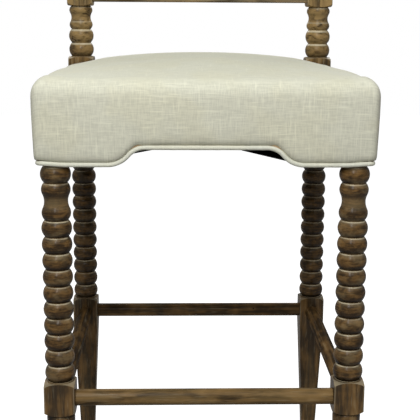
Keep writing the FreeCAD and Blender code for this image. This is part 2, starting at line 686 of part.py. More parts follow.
def make_seat_frame(scallop):
    z = ("dims.seat_rail_bottom", RAIL_TOP)
    screw_holes = {}
    screws = []
    for end, rail_y, inward in CORNERS:
        screw_holes[end] = brace_screws(f"{end}_hole", rail_y, inward, "dims.screw_clearance", SCREW_WAY_OUT)
        pair = brace_screws(f"{end}_left", rail_y, inward, "0", SCREW_HEAD_END)
        screws += pair + [mirrored(f"{end}_right_screw", screw) for screw in pair]
    for end, y, dowel_y in (
        ("front", (f"{FRONT_Y} - {HALF_STOCK}", FRONT_RAIL_Y), FRONT_DOWEL_Y),
        ("rear", (REAR_RAIL_Y, REAR_RAIL_BACK), REAR_DOWEL_Y),
    ):
        rail = box(f"{end}_seat_rail_stock", (f"-{INNER_X}", INNER_X), y, z)
        holes = rail_dowel_holes(f"{end}_seat_rail", "x", f"-{INNER_X}", INNER_X, dowel_y)
        screw_hole = screw_holes[end][0]
        holes += [screw_hole, mirrored(f"{end}_rail_right_hole", screw_hole)]
        if end == "front":
            holes.append(scallop)
        sub_part(cut(f"{end}_seat_rail_cut", rail, holes), f"{end}_seat_rail")
    y = (f"{FRONT_Y} + {HALF_STOCK}", POST_FRONT)
    rail = box("side_seat_rail_stock", (f"-{OUTER_X}", f"-{SIDE_RAIL_X}"), y, z)
    holes = rail_dowel_holes("side_seat_rail", "y", *y, f"-{SIDE_DOWEL_X}")
    holes += [screw_holes["front"][1], screw_holes["rear"][1]]
    side = sub_part(cut("side_seat_rail_cut", rail, holes), "side_seat_rail_left")
    sub_part(mirrored("side_seat_rail_mirror", side), "side_seat_rail_right")
    for end, rail_y, inward in CORNERS:
        block = cut(f"corner_block_{end}", corner_block(end, rail_y, inward), screw_holes[end])
        sub_part(block, f"corner_block_{end}_left")
        sub_part(mirrored(f"corner_block_{end}_mirror", block), f"corner_block_{end}_right")
    sub_part(group("brace_screws", screws), "corner_block_screws")


def make_dowels():
    dowels = []
    for level in DOWEL_HEIGHTS:
        for y in (FRONT_DOWEL_Y, REAR_DOWEL_Y):
            for face in (f"-{INNER_X}", INNER_X):
                dowels.append(rod("dowel", "x", f"{face} - dims.dowel_reach", f"{face} + dims.dowel_reach",
                                  (y, level), "dims.dowel_radius"))
        for x in (f"-{SIDE_DOWEL_X}", SIDE_DOWEL_X):
            for face in (f"({FRONT_Y} + {HALF_STOCK})", POST_FRONT):
                dowels.append(rod("dowel", "y", f"{face} - dims.dowel_reach", f"{face} + dims.dowel_reach",
                                  (x, level), "dims.dowel_radius"))
    sub_part(group("dowels", dowels), "seat_rail_dowels")


# Seat upholstery

def make_webbing():
    straps = count("strap_count")
    cross = []
    long = []
    deck_y = (f"({FRONT_Y} + {HALF_STOCK})", POST_FRONT)
    cross_span = (f"dims.strap_inset - {OUTER_X}", f"{OUTER_X} - dims.strap_inset")
    long_span = (f"{FRONT_Y} - {HALF_STOCK} + dims.strap_inset", f"{REAR_RAIL_BACK} - dims.strap_inset")
    for number in range(straps):
        share = f"({number} + 0.5) / {straps}"
        y = f"({deck_y[0]} + ({deck_y[1]} - {deck_y[0]}) * {share})"
        cross.append(box("cross_strap", cross_span,
                         (f"{y} - dims.strap_width / 2", f"{y} + dims.strap_width / 2"),
                         (RAIL_TOP, f"{RAIL_TOP} + dims.strap_thickness")))
        x = f"(2 * {INNER_X} * {share} - {INNER_X})"
        long.append(box("long_strap", (f"{x} - dims.strap_width / 2", f"{x} + dims.strap_width / 2"),
                        long_span, (f"{RAIL_TOP} + dims.strap_thickness", STRAP_TOP)))
    sub_part(group("cross_straps", cross), "webbing_crosswise")
    sub_part(group("long_straps", long), "webbing_lengthwise")


def post_notches(name, extra, z):
    """Room for the two posts in the seat's upholstery."""
    room = f"(dims.post_gap + {extra})"
    x = f"({INNER_X} - {room})"
    y = (f"{POST_FRONT} - {room}", f"{DEPTH}")
    return [box(f"{name}_left_notch", (f"-2 * {OUTER_X}", f"-{x}"), y, z),
            box(f"{name}_right_notch", (x, f"2 * {OUTER_X}"), y, z)]


# How the sections of a pad are set out: degrees round its upright corners, and shares of its half length
CORNER_ANGLES = (0, 22, 45, 68, 90)
DOME_SHARES = (0.12, 0.25, 0.45, 0.7, 1)
# The dome falls away from the middle as this power of the distance, and is never quite flat
DOME_POWER = 2.4
LEAST_DOME = 0.2
# The least share of a pad's edge rounding, left where a section is at its lowest
LEAST_BEND = 0.15


def cushion(half, front, rear, bottom, edge, crown, corner, plan_corner, draw_in):
    """A crowned pad: rounded top edges, sides that draw in towards the bottom, a domed middle."""
    ends = [(plan_corner * (1 - math.cos(a)), math.sin(a)) for a in map(math.radians, CORNER_ANGLES)]
    middle = (rear - front) / 2
    stations = [(front + inset, lift) for inset, lift in ends]
    stations += [(front + middle * share, 1) for share in DOME_SHARES]
    stations += [(rear - middle * share, 1) for share in reversed(DOME_SHARES[:-1])]
    stations += [(rear - inset, lift) for inset, lift in reversed(ends)]
    sections = []
    for y, lift in stations:
        wide = half - plan_corner * (1 - lift)
        top = edge - corner * (1 - lift)
        bend_radius = corner * max(lift, LEAST_BEND)
        away = abs((y - front - middle) / middle)
        dome = crown * (1 - away ** DOME_POWER) + LEAST_DOME
        side_top = top - bend_radius
        side_middle = (bottom + side_top) / 2
        waist = wide - draw_in
        turn_at = bend_radius * math.sqrt(0.5)

        def point(x, z, at=y):
            return Vector(x, at, z)

        low = [point(s * waist, bottom) for s in (-1, 1)]
        belly = [point(s * wide, side_middle) for s in (-1, 1)]
        high = [point(s * (wide - draw_in / 2), side_top) for s in (-1, 1)]
        bend = [point(s * (wide - draw_in / 2 - bend_radius + turn_at), side_top + turn_at) for s in (-1, 1)]
        rim = [point(s * (wide - draw_in / 2 - bend_radius), top) for s in (-1, 1)]
        edges = [
            Part.LineSegment(low[0], low[1]),
            Part.Arc(low[1], belly[1], high[1]),
            Part.Arc(high[1], bend[1], rim[1]),
            Part.Arc(rim[1], point(0, top + dome), rim[0]),
            Part.Arc(rim[0], bend[0], high[0]),
            Part.Arc(high[0], belly[0], low[0]),
        ]
        sections.append(Part.Wire([e.toShape() for e in edges]))
    return Part.makeLoft(sections, True, True)


def seat_form(inset, bottom):
    """The seat's outer form, drawn in evenly by an inset."""
    return cushion(
        value(f"{OUTER_X} + {SIDE_SKIN}") - inset,
        value(f"-{DEPTH} / 2") + inset,
        value(f"{DEPTH} / 2") - inset,
        bottom,
        value(SEAT_EDGE) - inset,
        value("dims.seat_crown"),
        value("dims.seat_corner") - inset,
        value("dims.seat_plan_corner") - inset,
        value("dims.seat_draw"),
    )


def make_seat_padding(scallop):
    z = ("dims.seat_rail_bottom", DECK)
    front = (f"{FRONT_Y} - {HALF_STOCK} - dims.padding", f"{FRONT_Y} - {HALF_STOCK}")
    strip = box("front_padding_strip", (f"-{OUTER_X}", OUTER_X), front, z)
    sub_part(cut("front_padding", strip, [scallop]), "front_rail_padding")
    lining = "(dims.cover + dims.fabric_gap)"
    side = box("side_padding", (f"-{OUTER_X} - dims.side_padding", f"-{OUTER_X}"),
               (f"{FRONT_Y} - {HALF_STOCK}", f"{POST_FRONT} - dims.post_gap - {lining}"), z)
    sub_part(side, "side_rail_padding_left")
    sub_part(mirrored("side_padding_mirror", side), "side_rail_padding_right")
    edge = f"({INNER_X} - dims.post_gap - {lining})"
    sub_part(box("rear_padding", (f"-{edge}", edge), (REAR_RAIL_BACK, f"{REAR_RAIL_BACK} + dims.padding"), z),
             "rear_rail_padding")
    hessian = box("hessian_sheet", (f"-{OUTER_X}", OUTER_X), (f"{FRONT_Y} - {HALF_STOCK}", REAR_RAIL_BACK),
                  (STRAP_TOP, DECK))
    notches = post_notches("hessian", lining, (RAIL_TOP, SEAT_EDGE))
    sub_part(cut("hessian", hessian, notches), "seat_hessian")
    foam = solid_piece("foam_form", seat_form(value(lining), value(DECK)))
    notches = post_notches("foam", lining, (RAIL_TOP, POST_SHOULDER))
    sub_part(cut("foam", foam, notches), "seat_foam")


def make_seat_cover(scallop):
    """A linen shell that turns in beside each post above the rails, and stops at the post below them."""
    low = value("dims.seat_rail_bottom")
    through = low - value("dims.cover")
    high = f"{POST_SHOULDER} + dims.seat_crown"
    form = solid_piece("cover_form", seat_form(0, low))
    under = "dims.seat_rail_bottom - dims.leg_stock"
    outer = cut("cover_outer", form, post_notches("cover", "0", (under, high)))
    lining = solid_piece("lining_form", seat_form(value("dims.cover"), through))
    inner = cut("cover_inner", lining, post_notches("lining", "dims.cover", (DECK, high)))
    sub_part(cut("cover_scalloped", cut("cover_shell", outer, [inner]), [scallop]), "seat_cover")


def pipe(name, edges, radius):
    """Round piping along a chain of edges."""
    path = Part.Wire([e.toShape() for e in edges])
    start = edges[0].value(edges[0].FirstParameter)
    heading = edges[0].tangent(edges[0].FirstParameter)[0]
    ring = Part.Wire([Part.Circle(start, heading, radius).toShape()])
    return solid_piece(name, path.makePipeShell([ring], True, False))


def make_seat_welts():
    radius = value("dims.welt_radius")
    z = value("dims.seat_rail_bottom") - radius
    side = value(f"{OUTER_X} + {SIDE_SKIN} - dims.welt_inset - dims.welt_radius")
    front = value(f"dims.welt_inset + dims.welt_radius - {DEPTH} / 2")
    rear = value(f"{POST_FRONT} - dims.post_gap")
    corner = value("dims.seat_plan_corner")
    swing = corner * (1 - math.sqrt(0.5))
    curve = [Vector(p.x, front, p.z) for p in ogee(radius, value("dims.seat_rail_bottom"))]
    left = [
        Part.LineSegment(Vector(-side, rear, z), Vector(-side, front + corner, z)),
        Part.Arc(Vector(-side, front + corner, z), Vector(-side + swing, front + swing, z),
                 Vector(-side + corner, front, z)),
        Part.LineSegment(Vector(-side + corner, front, z), curve[0]),
        Part.Arc(curve[0], curve[1], curve[2]),
        Part.Arc(curve[2], curve[3], curve[4]),
    ]

    def flip(point):
        return Vector(-point.x, point.y, point.z)

    right_curve = [flip(p) for p in curve]
    right = [
        Part.Arc(right_curve[4], right_curve[3], right_curve[2]),
        Part.Arc(right_curve[2], right_curve[1], right_curve[0]),
        Part.LineSegment(right_curve[0], Vector(side - corner, front, z)),
        Part.Arc(Vector(side - corner, front, z), Vector(side - swing, front + swing, z),
                 Vector(side, front + corner, z)),
        Part.LineSegment(Vector(side, front + corner, z), Vector(side, rear, z)),
    ]
    middle = [Part.LineSegment(curve[4], right_curve[4])]
    sub_part(pipe("front_welt", left + middle + right, radius), "seat_welt")
    back = f"{DEPTH} / 2 - dims.welt_inset - dims.welt_radius"
    end = f"({INNER_X} - dims.post_gap)"
    sub_part(rod("back_edge_welt", "x", f"-{end}", end, (back, "dims.seat_rail_bottom - dims.welt_radius"),
                 "dims.welt_radius"), "rear_welt")


def make_dust_cover():
    """Black cloth under the rails: it runs from a peak behind the scallop down to the rear rail."""
    thick = value("dims.dust_cover_thickness")
    top = value("dims.seat_rail_bottom")
    half = value(f"{OUTER_X} - dims.dust_cover_inset")
    end = value("dims.scallop_flat / 2 + dims.scallop_run")
    front = value(FRONT_RAIL_Y) + value("dims.fabric_gap")
    rear = value(f"{REAR_RAIL_BACK} - dims.dust_cover_inset")
    flat_from = rear - value("dims.seat_rail_thickness")

    def strip(y, peak):
        upper = [(-half, 0), (-end, 0), (0, peak), (end, 0), (half, 0)]
        ring = [Vector(x, y, top + z) for x, z in upper]
        ring += [Vector(x, y, top + z - thick) for x, z in reversed(upper)]
        return Part.makePolygon(ring + ring[:1])

    peak = value("dims.dust_cover_peak")
    pulled = Part.makeLoft([strip(front, peak), strip(flat_from, 0)], True, True)
    plain = Part.makeBox(2 * half, rear - flat_from, thick, Vector(-half, flat_from, top - thick))
    cloth = fuse("dust_cover_cloth", [solid_piece("pulled_cloth", pulled), solid_piece("plain_cloth", plain)])
    tall = ("dims.seat_rail_bottom - dims.leg_stock", RAIL_TOP)
    room = "(dims.groove_radius + dims.leg_cut_gap)"
    cuts = [rod("leg_cut", "z", *tall, (x, FRONT_Y), room) for x in (f"-{LEG_X}", LEG_X)]
    cuts += post_notches("dust_cover", "dims.leg_cut_gap", tall)
    sub_part(cut("dust_cover_cut", cloth, cuts), "dust_cover")


def make_staples():
    """Staples that hold the black cloth to the side and rear rails."""
    staples = []
    number = count("staple_count")
    z = ("dims.seat_rail_bottom - dims.dust_cover_thickness - dims.staple_wire",
         "dims.seat_rail_bottom - dims.dust_cover_thickness")
    long = "dims.staple_length / 2"
    wire = "dims.staple_wire / 2"
    side_x = f"({OUTER_X} - dims.seat_rail_thickness / 2 - dims.dust_cover_inset / 2)"
    rear_y = f"({REAR_RAIL_BACK} - dims.seat_rail_thickness / 2 - dims.dust_cover_inset / 2)"
    first_y = f"({FRONT_Y} + {HALF_STOCK} + dims.staple_length)"
    for place in range(number):
        share = f"({place} + 0.5) / {number}"
        y = f"({first_y} + ({POST_FRONT} - {first_y}) * {share})"
        x = f"(2 * {INNER_X} * {share} - {INNER_X})"
        staples.append(box("staple", (f"{x} - {long}", f"{x} + {long}"),
                           (f"{rear_y} - {wire}", f"{rear_y} + {wire}"), z))
        for across in (f"-{side_x}", side_x):
            staples.append(box("staple", (f"{across} - {wire}", f"{across} + {wire}"),
                               (f"{y} - {long}", f"{y} + {long}"), z))
    sub_part(group("staples", staples), "dust_cover_staples")


# Back

def back_rail(name, bottom, crest):
    """A back rail with its tenons; the top rail's upper edge is a shallow arch."""
    low = f"({bottom} + {RAIL_MARGIN})"
    high = f"({low} + dims.back_rail_height)"
    body = doc.addObject("PartDesign::Body", f"{name}_body")
    section = sketch_on(body, "YZ_Plane", f"{name}_section")
    top = f"({high} + {crest})"
    draw(section, rounded_rectangle("(dims.back_rail_thickness / 2)", low, top, "dims.back_rail_edge"))
    pad = body.newObject("PartDesign::Pad", f"{name}_length")
    pad.Profile = section
    pad.setExpression("Length", f"2 * {INNER_X}")
    pad.Midplane = True
    if crest != "0":
        doc.recompute()
        outline = sketch_on(body, "XZ_Plane", f"{name}_crest_outline")
        bend = f"({INNER_X} * {INNER_X} + {crest} * {crest}) / (2 * {crest})"
        draw(outline, [
            (INNER_X, high, bend),
            (f"-{INNER_X}", high),
            (f"-{INNER_X}", f"{top} + {crest}"),
            (INNER_X, f"{top} + {crest}"),
        ])
        arch = body.newObject("PartDesign::Pocket", f"{name}_crest")
        arch.Profile = outline
        arch.setExpression("Length", "2 * dims.back_rail_thickness")
        arch.Midplane = True
        before = body.Shape.Volume
        doc.recompute()
        if body.Shape.Volume >= before:
            raise RuntimeError(f"{name}: its crest cut nothing")
    body.setExpression("Placement.Base.y", REAR_Y)
    reach = f"({INNER_X} + dims.back_tenon_length)"
    middle = f"({bottom} + dims.back_block / 2)"
    tenons = box(f"{name}_tenons", (f"-{reach}", reach),
                 (f"{REAR_Y} - dims.back_tenon_thickness / 2", f"{REAR_Y} + dims.back_tenon_thickness / 2"),
                 (f"{middle} - dims.back_tenon_height / 2", f"{middle} + dims.back_tenon_height / 2"))
    return fuse(f"{name}_whole", [body, tenons])


BOARD_HALF = f"({INNER_X} - dims.board_side_gap)"
BOARD_FRONT = f"({REAR_Y} - dims.board_thickness / 2)"
BOARD_BACK = f"({REAR_Y} + dims.board_thickness / 2)"


def make_back_frame():
    side = f"({BOARD_HALF} + dims.board_clearance)"
    y = (f"{BOARD_FRONT} - dims.board_clearance", f"{BOARD_BACK} + dims.board_clearance")
    depth = "(dims.board_tongue + dims.board_clearance)"
    low = cut("low_rail_grooved", back_rail("low_rail", LOW_BLOCK, "0"),
              [box("low_groove", (f"-{side}", side), y, (f"{OPENING_BOTTOM} - {depth}", OPENING_BOTTOM))])
    sub_part(low, "lower_back_rail")
    top = cut("top_rail_grooved", back_rail("top_rail", TOP_BLOCK, "dims.back_crest"),
              [box("top_groove", (f"-{side}", side), y, (OPENING_TOP, f"{OPENING_TOP} + {depth}"))])
    sub_part(top, "top_back_rail")
    board = box("panel_board", (f"-{BOARD_HALF}", BOARD_HALF), (BOARD_FRONT, BOARD_BACK),
                (f"{OPENING_BOTTOM} - dims.board_tongue", f"{OPENING_TOP} + dims.board_tongue"))
    sub_part(board, "back_board")


def back_form(inset, base, edge, crown, corner, plan_corner):
    """A pad as tall and wide as the opening between the back rails, drawn in evenly by an inset."""
    half_height = value(f"({OPENING_TOP} - {OPENING_BOTTOM}) / 2 - dims.back_pad_gap")
    return cushion(value(BOARD_HALF) - inset, inset - half_height, half_height - inset, base,
                   edge - inset, crown, corner - inset, plan_corner - inset, value("dims.back_pad_draw"))


def make_back_pad():
    middle = value(f"({OPENING_TOP} + {OPENING_BOTTOM}) / 2")
    facing = FreeCAD.Placement(Vector(0, value(BOARD_FRONT), middle), Rotation(Vector(1, 0, 0), 90))
    behind = FreeCAD.Placement(Vector(0, value(BOARD_BACK), middle), Rotation(Vector(1, 0, 0), -90))
    edge = value("dims.back_pad_edge")
    crown = value("dims.back_pad_crown")
    corner = value("dims.back_pad_corner")
    plan_corner = value("dims.back_pad_plan_corner")
    cover = value("dims.cover")
    lining = value("dims.cover + dims.fabric_gap")
    welt = value("2 * (dims.back_welt_radius + dims.back_welt_gap)")
    outer = back_form(0, welt, edge, crown, corner, plan_corner)
    inner = back_form(cover, welt - cover, edge, crown, corner, plan_corner)
    sub_part(solid_piece("back_shell", outer.cut(inner), facing), "back_cover")
    room = value("2 * dims.back_welt_radius + dims.back_welt_gap")
    half_width = value(BOARD_HALF)
    half_height = value(f"({OPENING_TOP} - {OPENING_BOTTOM}) / 2 - dims.back_pad_gap")
    core = Part.makeBox(2 * (half_width - room), 2 * (half_height - room), welt,
                        Vector(room - half_width, room - half_height, 0))
    foam = back_form(lining, welt, edge, crown, corner, plan_corner).fuse(core)
    sub_part(solid_piece("back_filling", foam, facing), "back_foam")
    sub_part(back_piping(half_width, half_height, facing), "back_welt")
    panel = back_form(0, 0, value("dims.outside_edge"), value("dims.outside_crown"),
                      value("dims.outside_corner"), value("dims.outside_corner"))
    sub_part(solid_piece("outside_panel", panel, behind), "outside_back")


def back_piping(half_width, half_height, place):
    """Piping round the foot of the back pad, in a closed loop."""
    radius = value("dims.back_welt_radius")
    z = radius + value("dims.back_welt_gap")
    wide = half_width - radius
    tall = half_height - radius
    corner = value("dims.back_pad_plan_corner")
    swing = corner * (1 - math.sqrt(0.5))
    edges = []
    for x, y in ((1, -1), (1, 1), (-1, 1), (-1, -1)):
        side = Vector(x * wide, y * (tall - corner), z)
        end = Vector(x * (wide - corner), y * tall, z)
        bend = Vector(x * (wide - swing), y * (tall - swing), z)
        first, last = (end, side) if x * y < 0 else (side, end)
        if edges:
            edges.append(Part.LineSegment(edges[-1].value(edges[-1].LastParameter), first))
        edges.append(Part.Arc(first, bend, last))
    edges.append(Part.LineSegment(edges[-1].value(edges[-1].LastParameter),
                                  edges[0].value(edges[0].FirstParameter)))
    loop = pipe("back_piping", edges, radius)
    loop.Placement = place
    return loop


def check_parts():
    """Stops if any object failed or any sub-part isn't a sound shape."""
    failed = [o.Name for o in doc.Objects if {"Invalid", "Error"} & set(o.State)]
    if failed:
        raise RuntimeError(f"failed objects: {failed}")
    for piece in parts:
        if piece.Shape.isNull() or not piece.Shape.isValid() or not piece.Shape.Solids:
            raise RuntimeError(f"unsound sub-part: {piece.Label}")


def main():
    make_legs()
    make_stretchers()
    make_glides()
    scallop = scallop_cutter()
    make_seat_frame(scallop)
    make_dowels()
    make_webbing()
    make_seat_padding(scallop)
    make_seat_cover(scallop)
    make_seat_welts()
    make_dust_cover()
    make_staples()
    make_back_frame()
    make_back_pad()
    doc.recompute()
    check_parts()
    os.makedirs("parts", exist_ok=True)
    for piece in parts:
        piece.Shape.exportStep(f"parts/{piece.Label}.step")
        print(piece.Label, len(piece.Shape.Solids), round(piece.Shape.Volume))


main()
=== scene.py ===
import math

import bmesh
import bpy
import numpy as np
from bpy.props import FloatProperty, FloatVectorProperty, PointerProperty
from mathutils import Matrix, Vector
from mathutils.kdtree import KDTree


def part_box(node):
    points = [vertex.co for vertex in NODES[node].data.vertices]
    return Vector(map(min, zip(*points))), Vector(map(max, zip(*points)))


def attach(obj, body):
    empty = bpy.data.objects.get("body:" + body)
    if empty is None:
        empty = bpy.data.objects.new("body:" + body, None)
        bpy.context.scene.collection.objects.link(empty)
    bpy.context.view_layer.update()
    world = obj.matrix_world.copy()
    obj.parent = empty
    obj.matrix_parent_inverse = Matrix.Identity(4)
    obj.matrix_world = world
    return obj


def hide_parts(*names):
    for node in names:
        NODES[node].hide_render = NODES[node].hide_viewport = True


bl_info = {
    "name": "Bobbin Bar Chair",
    "version": (1, 0, 0),
    "blender": (4, 5, 0),
    "location": "3D View > Sidebar > Bar Chair",
    "description": "Finishes a bobbin-turned bar chair in limed wood, linen and piping",
    "category": "Object",
}

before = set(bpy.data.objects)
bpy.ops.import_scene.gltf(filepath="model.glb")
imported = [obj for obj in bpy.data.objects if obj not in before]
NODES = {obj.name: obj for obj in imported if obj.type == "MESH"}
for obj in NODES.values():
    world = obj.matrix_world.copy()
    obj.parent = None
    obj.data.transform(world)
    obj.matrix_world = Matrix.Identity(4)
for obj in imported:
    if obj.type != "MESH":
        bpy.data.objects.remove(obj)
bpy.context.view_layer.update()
BODY = "root"

# Places read from the frame. Metres, +Z up, and the sitter faces -Y.
LEG_LOW, LEG_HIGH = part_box("front_leg_right")
POST_LOW, POST_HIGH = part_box("rear_post_right")
COVER_LOW, COVER_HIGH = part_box("seat_cover")
FOAM_LOW, FOAM_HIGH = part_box("seat_foam")
WELT_LOW, WELT_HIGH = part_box("seat_welt")
REAR_WELT_LOW, REAR_WELT_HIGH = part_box("rear_welt")
DUST_LOW, DUST_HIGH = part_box("dust_cover")
HESSIAN_LOW, HESSIAN_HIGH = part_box("seat_hessian")
RAIL_LOW, RAIL_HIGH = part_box("front_seat_rail")
PAD_LOW, PAD_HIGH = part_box("back_cover")
BACK_WELT_LOW, BACK_WELT_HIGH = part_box("back_welt")
OUTSIDE_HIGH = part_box("outside_back")[1]
LEG_X = (LEG_LOW.x + LEG_HIGH.x) / 2
FRONT_Y = (LEG_LOW.y + LEG_HIGH.y) / 2
REAR_Y = (POST_LOW.y + POST_HIGH.y) / 2
HALF_STOCK = (POST_HIGH.x - POST_LOW.x) / 2
STRETCHER_Z = [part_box(name)[1].z for name in ("front_stretcher", "rear_stretcher")]

UPRIGHTS = ("front_leg_left", "front_leg_right", "rear_post_left", "rear_post_right")
CROSS_RAILS = ("front_stretcher", "rear_stretcher", "lower_back_rail", "top_back_rail")
SIDE_RAILS = ("side_stretcher_left", "side_stretcher_right")
HIDDEN_WOOD = (
    "front_seat_rail", "rear_seat_rail", "side_seat_rail_left", "side_seat_rail_right",
    "corner_block_front_left", "corner_block_front_right", "corner_block_rear_left",
    "corner_block_rear_right", "seat_rail_dowels", "back_board",
)


# Kinds of property

def kind(maker, **fixed):
    """Makes properties of one kind, each from a name, a description and a default."""
    def make(name, description, default):
        return maker(name=name, description=description, default=default, **fixed)
    return make


colour = kind(FloatVectorProperty, subtype="COLOR", size=3, min=0, max=1)
spot = kind(FloatVectorProperty, subtype="TRANSLATION", unit="LENGTH", precision=4)
distance = kind(FloatProperty, unit="LENGTH", precision=4)
focal = kind(FloatProperty, unit="CAMERA")
share = kind(FloatProperty, subtype="FACTOR", min=0, max=1)
angle = kind(FloatProperty, subtype="ANGLE")
number = kind(FloatProperty, precision=3)
power = kind(FloatProperty, unit="POWER")


class TimberFinish(bpy.types.PropertyGroup):
    """Limed show wood and the plain wood inside the seat"""
    umber: colour("Umber", "Darkest brown of the show wood", (0.014, 0.009, 0.005))
    walnut: colour("Walnut", "Main brown of the show wood", (0.042, 0.0235, 0.0088))
    ochre: colour("Ochre", "Golden brown patches", (0.158, 0.086, 0.028))
    tan: colour("Tan", "Palest, greyed patches", (0.31, 0.225, 0.112))
    # Honey is painted light on the posts above the seat, out of its shade, and with wear on the front
    # stretcher.
    honey: colour("Honey", "Faded wood above the seat", (0.33, 0.222, 0.092))
    # Lime also paints light on the upper faces of the turnings.
    lime: colour("Lime", "Pale wash left in grooves and pores", (0.47, 0.405, 0.275))
    plain: colour("Plain wood", "Sawn wood of the seat frame", (0.52, 0.36, 0.20))
    groove: distance("Groove radius", "The wash lies where a turning is thinner than this", 0.0186)
    gloss: share("Roughness", "Roughness of the waxed surface", 0.25)


class LinenFinish(bpy.types.PropertyGroup):
    """Linen, piping and the hidden cloths"""
    oat: colour("Oat", "Main colour of the linen", (0.625, 0.617, 0.497))
    piping: colour("Piping", "Colour of the piping", (0.665, 0.668, 0.562))
    black: colour("Dust cloth", "Colour of the cloth under the seat", (0.012, 0.012, 0.013))
    jute: colour("Jute", "Colour of webbing and hessian", (0.36, 0.26, 0.14))
    foam: colour("Foam", "Colour of the filling", (0.80, 0.74, 0.55))
    thread: distance("Thread", "Pitch of the weave", 0.0009)
    slub: share("Slub", "How much the thick threads stand out", 0.5)


class SeatShape(bpy.types.PropertyGroup):
    """Sizes of the seat's upholstery that the frame doesn't give"""
    crown: distance("Crown", "Rise of the middle above the edges", 0.0228)
    edge: distance("Edge", "Rounding of the top edges", 0.024)
    post_edge: distance("Post edge", "Rounding of the top edges beside the posts", 0.008)
    post_front: distance("Post front", "Rounding of the top edges in front of the posts", 0.018)
    corner: distance("Corner", "Rounding of the upright corners", 0.012)
    scallop_flat: distance("Scallop flat", "Level middle of the scallop", 0.168)
    scallop_run: distance("Scallop run", "Length of each curved end of the scallop", 0.052)
    scallop_rise: distance("Scallop rise", "Height of the scallop", 0.024)
    roll: distance("Roll", "How far the cover rolls in at the piping", 0.005)
    scallop_roll: distance("Scallop roll", "How far it rolls in along the scallop", 0.0058)
    draw: distance("Draw", "How far the front leans in towards the piping", 0.0010)
    side_roll: distance("Side roll", "How far it rolls in along the sides", 0.0008)
    side_draw: distance("Side draw", "How far the sides lean in towards the piping", 0.0018)
    ear: distance("Ear", "Rise of the front corners", 0.003)
    dip: distance("Dip", "Fall of the edge beside the posts", 0.0085)
    pucker: distance("Pucker", "Gap over the piping where the scallop turns", 0.0025)
    corner_rise: distance("Corner rise", "Rise of the piping towards the front corners", 0.002)
    slack: distance("Slack", "How much narrower the cover starts before it is filled", -0.0016)
    top_slack: distance("Top slack", "How much lower its middle starts before it is filled", 0.0031)
    swell: distance("Swell", "The furthest that a point moves as it is filled", 0.005)
    give: distance("Give", "Stretch of the cloth at which it is most of the way there", 0.012)
    voxel: distance("Mesh", "Spacing of the mesh that is blown up", 0.006)
    pressure: number("Pressure", "Pressure of the filling", 4)


class BackShape(bpy.types.PropertyGroup):
    """Sizes of the back's upholstery that the frame doesn't give"""
    crown: distance("Crown", "Rise of the pad's middle", 0.010)
    edge: distance("Edge", "Rounding of the pad's edges", 0.008)
    corner: distance("Corner", "Rounding of the pad's outline", 0.008)
    roll: distance("Roll", "How far the pad rolls in at the piping", 0.0025)
    draw: distance("Draw", "How far the sides lean in towards the piping", 0.0008)
    slack: distance("Slack", "How much smaller the pad starts before it is filled", 0.001)
    swell: distance("Swell", "The furthest that a point moves as it is filled", 0.003)
    give: distance("Give", "Stretch of the cloth at which it is most of the way there", 0.006)
    voxel: distance("Mesh", "Spacing of the mesh that is blown up", 0.005)
    pressure: number("Pressure", "Pressure of the filling", 4)
    outside_crown: distance("Outside crown", "Rise of the outside back's middle", 0.003)
    outside_edge: distance("Outside edge", "Rounding of the outside back's edges", 0.0025)


class Studio(bpy.types.PropertyGroup):
    """Camera, lamps and floor"""
    eye: spot("Eye", "Where the camera stands", (-0.03887, -1.6461, 0.8689))
    lens: focal("Lens", "Focal length", 88.75)
    pitch: angle("Pitch", "How far the camera looks down", math.radians(11.673))
    yaw: angle("Yaw", "How far the camera turns towards +X", math.radians(1.809))
    roll: angle("Roll", "How far the camera tilts sideways", math.radians(0.378))
    key: power("Key", "Power of the lamp high at the front", 28)
    fill: power("Fill", "Power of the second lamp at the front", 6)
    overhead: power("Overhead", "Power of the lamp over the seat", 4)
    behind: power("Behind", "Power of each lamp behind the chair", 11)
    ambient: number("Ambient", "Light from all round", 0.13)
    floor: colour("Floor", "Colour of the floor", (0.36, 0.36, 0.355))
    glow: number("Floor glow", "How far the floor is lifted towards white where it is seen", 0.97)
    shade: distance("Shadow reach", "How far from the chair its shadow shows on the floor", 0.50)
    reach: distance("Floor reach", "Side of the floor", 12)


class BarChairSettings(bpy.types.PropertyGroup):
    """Everything that a user can change"""
    timber: PointerProperty(name="Timber", description="Finish of the wood", type=TimberFinish)
    linen: PointerProperty(name="Linen", description="Finish of the cloths", type=LinenFinish)
    seat: PointerProperty(name="Seat", description="Shape of the seat", type=SeatShape)
    back: PointerProperty(name="Back", description="Shape of the back", type=BackShape)
    studio: PointerProperty(name="Studio", description="Camera, lamps and floor", type=Studio)


def settings():
    return bpy.context.scene.bar_chair


# Materials

